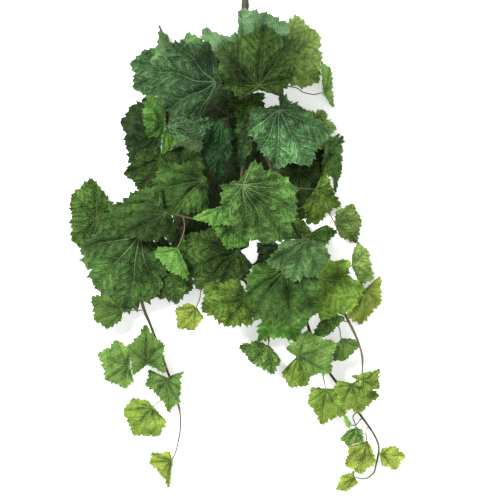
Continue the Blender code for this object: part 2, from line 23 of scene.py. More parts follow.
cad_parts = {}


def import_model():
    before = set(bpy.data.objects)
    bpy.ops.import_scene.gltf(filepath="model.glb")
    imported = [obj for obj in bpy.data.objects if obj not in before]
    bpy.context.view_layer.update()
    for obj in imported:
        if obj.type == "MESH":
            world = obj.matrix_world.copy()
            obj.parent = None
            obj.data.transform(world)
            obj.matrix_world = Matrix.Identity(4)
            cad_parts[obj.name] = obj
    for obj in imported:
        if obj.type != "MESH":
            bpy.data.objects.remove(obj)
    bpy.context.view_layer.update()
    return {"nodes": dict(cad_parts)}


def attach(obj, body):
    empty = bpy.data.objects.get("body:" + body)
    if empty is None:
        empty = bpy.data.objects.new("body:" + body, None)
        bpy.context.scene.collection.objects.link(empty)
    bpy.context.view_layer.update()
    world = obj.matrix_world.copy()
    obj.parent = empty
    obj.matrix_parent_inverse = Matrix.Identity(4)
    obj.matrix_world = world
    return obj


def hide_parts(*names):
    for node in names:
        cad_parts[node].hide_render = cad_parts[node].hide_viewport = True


LOG = logging.getLogger("grapevine")
BODY = "root"

# A display colour, a shader's colour, a spot of the photograph, the numbers of a step, and what feeds a node
Colour = tuple[int, int, int]
Linear = tuple[float, float, float, float]
Spot = tuple[int, int]
Numbers = tuple[float, ...]
Socket = bpy.types.NodeSocket
Fed = dict[str | int, object]

# The view: how long the bush is, and where the frame's origin is seen in the photograph
BUSH_LENGTH = 0.800
VIEW_HEIGHT = 500
PIXEL = BUSH_LENGTH / VIEW_HEIGHT
VIEW_CENTRE = (240, 250)
ORIGIN_SEEN_AT = (237.0, 243.38)

# Sizes that the frame's solids were given
SOLID_THICKNESS = 0.0008
STALK_NOTCH = 0.10
LEAST_LEAN = 0.2
HUB_DEPTH = 0.0080
STRAIGHT_SHARE = 0.45
BEND_DEPTH_SHARE = 0.75
BEND_REACH_SHARE = 0.70
HEIGHT_WEIGHT = 0.6
LARGE_LEAF = 0.075
AXIS_STEPS = 2
STALK_STEPS = 6

# Attributes that the materials read
VEIN_PLACE = "vein_place"
BARK_PLACE = "bark_place"
# The dye attribute holds each leaf's dye with painted light and shade: its dye value and its paler and darker
# places
DYE = "dye_and_shading"
FLAT_MAP = "flat"

# How the cloth levels out close to the floor and to the bush's top
FLOOR_EASE = 0.0012
FLOOR_CLEARANCE = 0.0003
CREST = 0.1803
CREST_EASE = 0.003

# Edges sharper than this stay sharp in the light
SHARP_EDGE = math.radians(55)

# The usual curve of displays: where its straight start ends, what divides that start, its shift and its power
CURVE_START, CURVE_DIVISOR, CURVE_SHIFT, CURVE_POWER = 0.04045, 12.92, 0.055, 2.4

# Sockets of the node that mixes colours
MIX_SHARE, MIX_FIRST, MIX_SECOND, MIX_RESULT = 0, 6, 7, 2

# The part of a cloud's noise that a roughness follows
GRAIN_RANGE = (0.2, 0.8)


class Slot(Enum):
    """Material groups: bark, and the ages of leaf, each with a stalk bark of its own."""

    BARK = "bark"
    OLD = "leaf_old"
    MID = "leaf_mid"
    BRIGHT = "leaf_bright"
    YOUNG = "leaf_young"


def shade(red: int, green: int, blue: int) -> Linear:
    """A display colour, 0 to 255 each, as the linear colour that a shader takes.

    Args:
        red: Its red.
        green: Its green.
        blue: Its blue.

    Returns:
        The linear colour, by the usual curve of displays.
    """
    parts = [value / 255 for value in (red, green, blue)]
    linear = [part / CURVE_DIVISOR if part <= CURVE_START
              else ((part + CURVE_SHIFT) / (1 + CURVE_SHIFT)) ** CURVE_POWER for part in parts]
    return (linear[0], linear[1], linear[2], 1.0)


def place(x: float, y: float) -> np.ndarray:
    """Ground position in the frame of a point seen at x, y in the photograph."""
    return np.array([(x - ORIGIN_SEEN_AT[0]) * PIXEL, (ORIGIN_SEEN_AT[1] - y) * PIXEL])


@dataclass
class Weave:
    """A node tree that is built up step by step, with one short method for each kind of step."""

    material: bpy.types.Material

    def __post_init__(self) -> None:
        """Start from the plain surface that a new material has."""
        self.material.use_nodes = True
        self.tree = self.material.node_tree
        self.surface = self.tree.nodes["Principled BSDF"]

    def node(self, kind: str, fed: Fed | None = None, **settings: object) -> bpy.types.Node:
        """Add a node.

        Args:
            kind: The node's type.
            fed: What goes into its inputs, by their names or places.
            settings: What is set on it.

        Returns:
            The node.
        """
        made = self.tree.nodes.new(kind)
        for name, value in settings.items():
            setattr(made, name, value)
        self.feed(made, fed or {})
        return made

    def feed(self, node: bpy.types.Node, fed: Fed) -> None:
        """Link or set inputs of a node.

        Args:
            node: The node.
            fed: Another node's output, or a plain number or colour, for each input.
        """
        for name, value in fed.items():
            if isinstance(value, Socket):
                self.tree.links.new(value, node.inputs[name])
            else:
                node.inputs[name].default_value = value

    def noted(self, name: str) -> tuple[Socket, list[Socket]]:
        """The three numbers that a sheet keeps with each corner, as one vector and each by itself."""
        vector = self.node("ShaderNodeAttribute", attribute_name=name).outputs["Vector"]
        return vector, list(self.node("ShaderNodeSeparateXYZ", {0: vector}).outputs)

    def sum(self, kind: str, first: object, second: object = 0.0, third: object = 0.0) -> Socket:
        """One step of arithmetic, such as MULTIPLY, with up to three values."""
        return self.node("ShaderNodeMath", {0: first, 1: second, 2: third}, operation=kind).outputs[0]

    def ramp(self, value: object, start: object, end: object, low: float = 0.0, high: float = 1.0) -> Socket:
        """A smooth step of a value: low up to start, and high from end on."""
        fed = {"Value": value, "From Min": start, "From Max": end, "To Min": low, "To Max": high}
        return self.node("ShaderNodeMapRange", fed, interpolation_type="SMOOTHSTEP").outputs["Result"]

    def blend(self, share: object, first: object, second: object, kind: str = "MIX") -> Socket:
        """Mix two colours.

        Args:
            share: How much of the second shows.
            first: The colour beneath.
            second: The colour laid on it.
            kind: The way they mix.

        Returns:
            The mixed colour's socket.
        """
        fed = {MIX_SHARE: share, MIX_FIRST: first, MIX_SECOND: second}
        made = self.node("ShaderNodeMix", fed, data_type="RGBA", blend_type=kind, clamp_factor=True)
        return made.outputs[MIX_RESULT]

    def cloud(self, vector: object, scale: float, detail: float = 2.0, roughness: float = 0.5) -> Socket:
        """Smooth noise from 0 to 1: swells in a metre, number of finer layers and how strong they are."""
        fed = {"Vector": vector, "Scale": scale, "Detail": detail, "Roughness": roughness}
        return self.node("ShaderNodeTexNoise", fed).outputs["Fac"]

    def cover(self, colour: Socket, grain: Socket, roughness: Numbers, gloss: float = 0.5) -> None:
        """Give the surface its colour, its gloss and a roughness that follows the grain from low to high."""
        rough = self.ramp(grain, *GRAIN_RANGE, *roughness)
        self.feed(self.surface, {"Base Color": colour, "Roughness": rough, "Specular IOR Level": gloss})

    def bump(self, height: object, depth: float, strength: float = 1.0) -> None:
        """Give the surface a relief: a height of 1 is depth metres, and strength is the share that shows."""
        made = self.node("ShaderNodeBump", {"Strength": strength, "Distance": depth, "Height": height})
        self.feed(self.surface, {"Normal": made.outputs["Normal"]})


@dataclass(frozen=True)
class ClothPattern:
    """What the cloth of all the leaves has in common.

    A cloud is its swells in a metre, the number of its finer layers and how strong they are. A step is where
    it begins and where it ends, and a tint is a step with its share at both ends. Widths across a vein are in
    gaps between two branch veins.
    """

    patch_cloud: Numbers = (34.0, 3.0, 0.55)
    mottle_cloud: Numbers = (125.0, 3.0, 0.62)
    fleck_cloud: Numbers = (520.0, 2.0, 0.6)
    cloud_middle: float = 0.5
    branch_slant: float = 0.84
    branch_wander: float = 1.1
    panel_along: Numbers = (0.03, 0.36)
    panel_across: Numbers = (0.08, 0.70)
    vein_width: float = 0.13
    vein_tip_width: float = 0.05
    vein_core: float = 0.35
    branch_line: Numbers = (0.015, 0.075, 1.0, 0.0)
    branch_fade: Numbers = (1.0, 2.6, 1.0, 0.2)
    branch_break: Numbers = (0.38, 0.56, 0.15, 1.0)
    net_randomness: float = 0.9
    net_line: Numbers = (0.02, 0.22, 1.0, 0.0)
    patch_pull: float = 1.1
    heart_to_rim: Numbers = (0.55, 1.45)
    # Where the dye with its painted light is strong, the colour turns towards the rim colour
    strong_dye_and_light: Numbers = (1.05, 1.8, 0.0, 0.7)
    # Painted shade in the hollows by the veins, and painted highlights on the pillows between them
    hollow_shade: Numbers = (0.95, 0.10, 0.0)
    hollow_shade_colour: Linear = (0.22, 0.28, 0.20, 1.0)
    pillow_highlight: Numbers = (0.70, 1.30, 0.0, 0.90)
    fleck_tint: Numbers = (0.45, 0.75, 0.0, 0.35)
    edge_tint: Numbers = (0.93, 1.0, 0.0, 0.4)
    veil: Colour = (112, 132, 92)
    veil_share: float = 0.30
    gloss: float = 0.07
    pillow_relief: float = 0.6
    fleck_relief: float = 0.35
    net_relief: float = 0.3
    vein_relief: float = 0.5
    relief_depth: float = 0.0034


PATTERN = ClothPattern()


@dataclass(frozen=True)
class LeafFinish:
    """Printed cloth of one tone: a ground colour with a pale net, branching veins and a lighter edge.

    heart is the colour round the hub and rim the colour towards the edge. vein colours the main veins and
    their branches, mesh the fine net between them and also the painted highlights on its pillows. The
    strengths are the shares of each that show, and depth how dark the painted shade in the cloth's hollows
    is. quilting is how far its panels of painted light and shade follow the branch veins, mottling how
    strong its blotches are, and cell the width of the net's cells.
    """

    name: str
    slot: Slot
    heart: Colour
    rim: Colour
    vein: Colour
    mesh: Colour
    vein_strength: float = 0.8
    branch_strength: float = 0.5
    mesh_strength: float = 0.45
    depth: float = 0.8
    quilting: float = 0.8
    mottling: float = 3.0
    cell: float = 0.0042
    roughness: Numbers = (0.44, 0.62)

    @cache
    def dressed(self, underside: bool) -> bpy.types.Material:
        """Make the cloth's material, once.

        Args:
            underside: True for the paler back of the cloth, whose veins stand out less in colour.

        Returns:
            The material.
        """
        made = Weave(bpy.data.materials.new(self.name + ("_underside" if underside else "_face")))
        along, across, share = made.noted(VEIN_PLACE)[1]
        flat = made.node("ShaderNodeUVMap", uv_map=FLAT_MAP).outputs["UV"]
        # The dye with its painted light and shade, from the leaf's plan
        dye_and_shading = made.node("ShaderNodeAttribute", attribute_name=DYE).outputs["Fac"]
        patches = made.cloud(flat, *PATTERN.patch_cloud)
        mottle = made.cloud(flat, *PATTERN.mottle_cloud)
        flecks = made.cloud(flat, *PATTERN.fleck_cloud)
        row = made.sum("ADD", made.sum("MULTIPLY_ADD", across, -PATTERN.branch_slant, along),
                       made.sum("MULTIPLY", patches, PATTERN.branch_wander))
        gap = made.sum("PINGPONG", row, 0.5)
        panel = made.sum("MULTIPLY", made.ramp(gap, *PATTERN.panel_along),
                         made.ramp(across, *PATTERN.panel_across))
        # lit is where the cloth is painted lit: high on the pillows and on pale blotches, low near the veins
        lit = made.sum("MULTIPLY_ADD", panel, self.quilting, 1 - self.quilting)
        lit = made.sum("MULTIPLY_ADD", made.sum("SUBTRACT", mottle, PATTERN.cloud_middle), self.mottling, lit)
        main = self.main_veins(made, across, share)
        net = self.net(made, flat)
        mesh, vein = shade(*self.mesh), shade(*self.vein)
        outward = made.sum("MULTIPLY_ADD", patches, PATTERN.patch_pull, share)
        colour = made.blend(made.ramp(outward, *PATTERN.heart_to_rim), shade(*self.heart), shade(*self.rim))
        # Where the dye with its painted light is strong, the colour turns towards the rim colour
        colour = made.blend(made.ramp(dye_and_shading, *PATTERN.strong_dye_and_light), colour, shade(*self.rim))
        # Painted shade darkens the hollows, and the first tint below paints highlights on the pillows
        hollow_shade = made.ramp(lit, *PATTERN.hollow_shade, self.depth)
        colour = made.blend(hollow_shade, colour, PATTERN.hollow_shade_colour, "MULTIPLY")
        for strength, laid in (
                (made.ramp(lit, *PATTERN.pillow_highlight), mesh),
                (made.ramp(flecks, *PATTERN.fleck_tint), mesh),
                (made.sum("MULTIPLY", net, self.mesh_strength), mesh),
                (made.sum("MULTIPLY", self.branches(made, gap, across, mottle), self.branch_strength), vein),
                (made.sum("MULTIPLY", main, self.vein_strength), vein),
                (made.ramp(share, *PATTERN.edge_tint), mesh)):
            colour = made.blend(strength, colour, laid)
        if underside:
            colour = made.blend(PATTERN.veil_share, colour, shade(*PATTERN.veil))
        # Scale the colour by the dye with its painted light and shade
        dyed_and_shaded = made.node("ShaderNodeVectorMath", {0: colour, "Scale": dye_and_shading}, operation="SCALE").outputs[0]
        made.cover(dyed_and_shaded, flecks, self.roughness, PATTERN.gloss)
        relief = made.sum("MULTIPLY", flecks, PATTERN.fleck_relief)
        for part, height in ((lit, PATTERN.pillow_relief), (net, -PATTERN.net_relief),
                             (main, -PATTERN.vein_relief)):
            relief = made.sum("MULTIPLY_ADD", part, height, relief)
        made.bump(relief, PATTERN.relief_depth)
        return made.material

    def main_veins(self, made: Weave, across: Socket, share: Socket) -> Socket:
        """Share of a main vein at each spot: widest at the hub."""
        width = made.ramp(share, 0.0, 1.0, PATTERN.vein_width, PATTERN.vein_tip_width)
        return made.ramp(across, made.sum("MULTIPLY", width, PATTERN.vein_core), width, 1.0, 0.0)

    def branches(self, made: Weave, gap: Socket, across: Socket, mottle: Socket) -> Socket:
        """Share of a branch vein at each spot: slanting broken rows on both sides of each main vein.

        Args:
            made: The node tree.
            gap: How far the spot is from a row.
            across: How far it is from the main vein.
            mottle: The noise that breaks the rows.

        Returns:
            The share's socket.
        """
        line = made.ramp(gap, *PATTERN.branch_line)
        line = made.sum("MULTIPLY", line, made.ramp(across, *PATTERN.branch_fade))
        return made.sum("MULTIPLY", line, made.ramp(mottle, *PATTERN.branch_break))

    def net(self, made: Weave, flat: Socket) -> Socket:
        """Share of the fine net at each spot.

        Args:
            made: The node tree.
            flat: The spot on the leaf's flat map.

        Returns:
            The share's socket.
        """
        fed = {"Vector": flat, "Scale": 1.0 / self.cell, "Randomness": PATTERN.net_randomness}
        cells = made.node("ShaderNodeTexVoronoi", fed, feature="DISTANCE_TO_EDGE", voronoi_dimensions="2D")
        return made.ramp(cells.outputs["Distance"], *PATTERN.net_line)


class Tone(Enum):
    """The cloth that each leaf is cut from."""

    # SHADE is a very dark cloth for the leaves deep in the bush: painted shade, darker than their own colour
    SHADE = LeafFinish("shade", Slot.OLD, (26, 44, 22), (38, 60, 28), (66, 86, 46), (54, 76, 38), 0.5, 0.3,
        0.3)
    TEAL = LeafFinish("teal", Slot.OLD, (32, 62, 38), (54, 92, 46), (116, 146, 102), (88, 120, 80), 0.6, 0.45,
        0.4, depth=0.85, quilting=1.0, mottling=2.4)
    DEEP = LeafFinish("deep", Slot.OLD, (24, 54, 30), (36, 72, 38), (70, 104, 60), (52, 86, 48), 0.6, 0.3,
        0.3)
    FOREST = LeafFinish("forest", Slot.OLD, (36, 60, 24), (58, 88, 32), (112, 136, 74), (88, 120, 56), 0.55,
        0.35, 0.55, depth=0.95, quilting=0.75, mottling=2.6)
    GREY = LeafFinish("grey", Slot.OLD, (60, 94, 50), (80, 114, 62), (104, 134, 84), (98, 130, 76), 0.45, 0.3,
        0.4, quilting=0.5, mottling=1.8)
    CROWN = LeafFinish("crown", Slot.OLD, (66, 96, 62), (88, 120, 78), (112, 140, 104), (102, 132, 92), 0.45,
        0.3, 0.35, depth=0.55, quilting=0.45, mottling=1.5)
    SUNNY = LeafFinish("sunny", Slot.MID, (66, 96, 40), (96, 124, 56), (96, 116, 62), (124, 146, 80), 0.6,
        0.35, 0.55, quilting=0.5, mottling=2.4)
    OLIVE = LeafFinish("olive", Slot.MID, (46, 74, 24), (84, 112, 38), (116, 138, 64), (98, 126, 52), 0.6,
        0.35, 0.4, quilting=0.6)
    MEADOW = LeafFinish("meadow", Slot.MID, (46, 78, 34), (70, 106, 44), (110, 140, 78), (90, 124, 60), 0.6,
        0.4, 0.35, quilting=0.55, mottling=2.2)
    HEART = LeafFinish("heart", Slot.MID, (42, 74, 34), (62, 98, 40), (120, 146, 90), (88, 118, 62), 0.6, 0.4,
        0.35, depth=0.9, quilting=0.8, mottling=2.4)
    STRAND = LeafFinish("strand", Slot.MID, (74, 102, 50), (92, 124, 56), (60, 86, 46), (106, 136, 68), 0.5,
        0.25, 0.25, depth=0.4, quilting=0.35, mottling=1.8)
    BRIGHT = LeafFinish("bright", Slot.BRIGHT, (54, 90, 38), (76, 120, 46), (44, 78, 36), (98, 142, 66), 0.5,
        0.3, 0.3, depth=0.5, quilting=0.6, mottling=2.4)
    LIME = LeafFinish("lime", Slot.BRIGHT, (74, 120, 50), (98, 144, 62), (58, 92, 42), (116, 162, 80), 0.5,
        0.2, 0.2, depth=0.3, quilting=0.35, mottling=1.6)
    SPRING = LeafFinish("spring", Slot.YOUNG, (84, 112, 50), (114, 140, 54), (58, 82, 42), (126, 150, 66),
        0.65, 0.3, 0.25, depth=0.45, quilting=0.35, mottling=1.8)
    YOUNG = LeafFinish("young", Slot.YOUNG, (108, 130, 54), (140, 158, 62), (78, 92, 44), (150, 168, 78), 0.6,
        0.25, 0.25, depth=0.45, quilting=0.35, mottling=1.8)


@dataclass(frozen=True)
class BarkFinish:
    """Bark with fibres that run along the shoot, and smudges. It turns to another colour towards the tip."""

    name: str
    ground: Colour
    fibre: Colour
    tip: Colour
    roughness: Numbers = (0.65, 0.85)
    depth: float = 0.0008
    stretch: Numbers = (1.0, 0.12, 0.0)
    fibre_cloud: Numbers = (900.0, 3.0, 0.65)
    smudge_cloud: Numbers = (60.0, 2.0, 0.5)
    smudge: Linear = (0.3, 0.26, 0.2, 1.0)
    tip_step: Numbers = (0.58, 0.92)
    fibre_step: Numbers = (0.4, 0.7)
    smudge_tint: Numbers = (0.4, 0.8, 0.0, 0.5)
    relief_share: float = 0.7
    gloss: float = 0.12

    @cache
    def dressed(self) -> bpy.types.Material:
        """Make the bark's material, once.

        Returns:
            The material, which turns from the ground colour to the tip colour along the piece.
        """
        made = Weave(bpy.data.materials.new(self.name))
        vector, (_, _, share) = made.noted(BARK_PLACE)
        stretched = made.node("ShaderNodeMapping", {"Vector": vector, "Scale": self.stretch}).outputs[0]
        fibres = made.cloud(stretched, *self.fibre_cloud)
        smudges = made.cloud(vector, *self.smudge_cloud)
        colour = made.blend(made.ramp(share, *self.tip_step), shade(*self.ground), shade(*self.tip))
        colour = made.blend(made.ramp(fibres, *self.fibre_step), colour, shade(*self.fibre))
        colour = made.blend(made.ramp(smudges, *self.smudge_tint), colour, self.smudge, "MULTIPLY")
        made.cover(colour, fibres, self.roughness, self.gloss)
        made.bump(fibres, self.depth, self.relief_share)
        return made.material


@dataclass(frozen=True)
class CutWoodFinish:
    """The cut end of the stem: pale wood with wavering growth rings."""

    name: str = "cut_wood"
    pale: Colour = (186, 168, 128)
    dark: Colour = (128, 104, 70)
    ring: float = 0.0011
    waver: float = 300.0
    ring_step: Numbers = (0.05, 0.45)
    relief_share: float = 0.5
    roughness: Numbers = (0.7, 0.85)
    depth: float = 0.0003

    def dressed(self, centre: Vector) -> bpy.types.Material:
        """Make the cut wood's material.

        Args:
            centre: Middle of the cut.

        Returns:
            The material.
        """
        made = Weave(bpy.data.materials.new(self.name))
        spot = made.node("ShaderNodeTexCoord").outputs["Object"]
        moved = made.node("ShaderNodeMapping", {"Vector": spot, "Location": -centre}).outputs[0]
        distance = made.node("ShaderNodeVectorMath", {0: moved}, operation="LENGTH").outputs["Value"]
        waver = made.cloud(spot, self.waver)
        row = made.sum("MULTIPLY_ADD", distance, 1.0 / self.ring, waver)
        rings = made.ramp(made.sum("PINGPONG", row, 0.5), *self.ring_step)
        made.cover(made.blend(rings, shade(*self.dark), shade(*self.pale)), waver, self.roughness)
        made.bump(rings, self.depth, self.relief_share)
        return made.material


BARK = BarkFinish("bark", (52, 52, 35), (78, 76, 55), (112, 100, 75))
STEM_BARK = BarkFinish("stem_bark", (56, 62, 48), (74, 80, 64), (54, 50, 40))
STALK_COLOURS = {
    Slot.OLD: ((62, 68, 42), (88, 92, 62), (58, 50, 40)),
    Slot.MID: ((82, 76, 54), (108, 100, 72), (62, 54, 40)),
    Slot.BRIGHT: ((102, 96, 68), (126, 118, 86), (78, 68, 50)),
    Slot.YOUNG: ((96, 82, 60), (118, 102, 76), (78, 64, 50)),
}
STALK_BARKS = {slot: BarkFinish("stalk_" + slot.value, *colours, roughness=(0.5, 0.7), depth=0.0002)
               for slot, colours in STALK_COLOURS.items()}


@dataclass(frozen=True)
class PaintedShading:
    """A paler or darker place in a leaf's dye, in units of PIXEL. Its strength is below 0 if it is darker.

    It is painted light and shade: shade round hubs and in creases, and highlights on crests, and partly
    also the leaf's own paler and darker colour.
    """

    spot: Spot
    reach: float
    strength: float


@dataclass(frozen=True)
class LeafPlan:
    """A leaf as the viewer sees it: x runs right and y runs down, in units of PIXEL.

    hub is where the stalk meets the blade. tips are the ends of the lobes, in order round the blade.
    slope is the rise towards the viewer for each step right and each step up. cup bends the rim back,
    fold bends both halves back from the midrib, and notch is the depth of a wide bay between lobes.
    via are points that the stalk passes on its way to a shoot. grown_on names the shoot whose node holds
    the leaf. A leaf that faces back has its stalk on the viewer's side. The dye value is how strong its
    colour is: partly its own dye, partly painted shade and light for how dark the leaf lies in the bush. The
    last field holds its darker and paler places, painted light and shade that are partly its own colour.
    """

    name: str
    tone: Tone
    hub: Spot
    slope: tuple[float, float]
    tips: tuple[Spot, ...]
    cup: float = 0.12
    fold: float = 0.0
    notch: float = 0.08
    via: tuple[Spot, ...] = ()
    grown_on: str = ""
    faces_back: bool = False
    dye_and_shading: float = 1.0
    painted_shading: tuple[PaintedShading, ...] = ()


@dataclass(frozen=True)
class ShootPlan:
    """A woody shoot: the points of its axis as seen, in units of PIXEL, and its radius at both ends."""

    name: str
    points: tuple[Spot, ...]
    radius_mm: tuple[float, float]
    cut_end: bool = False


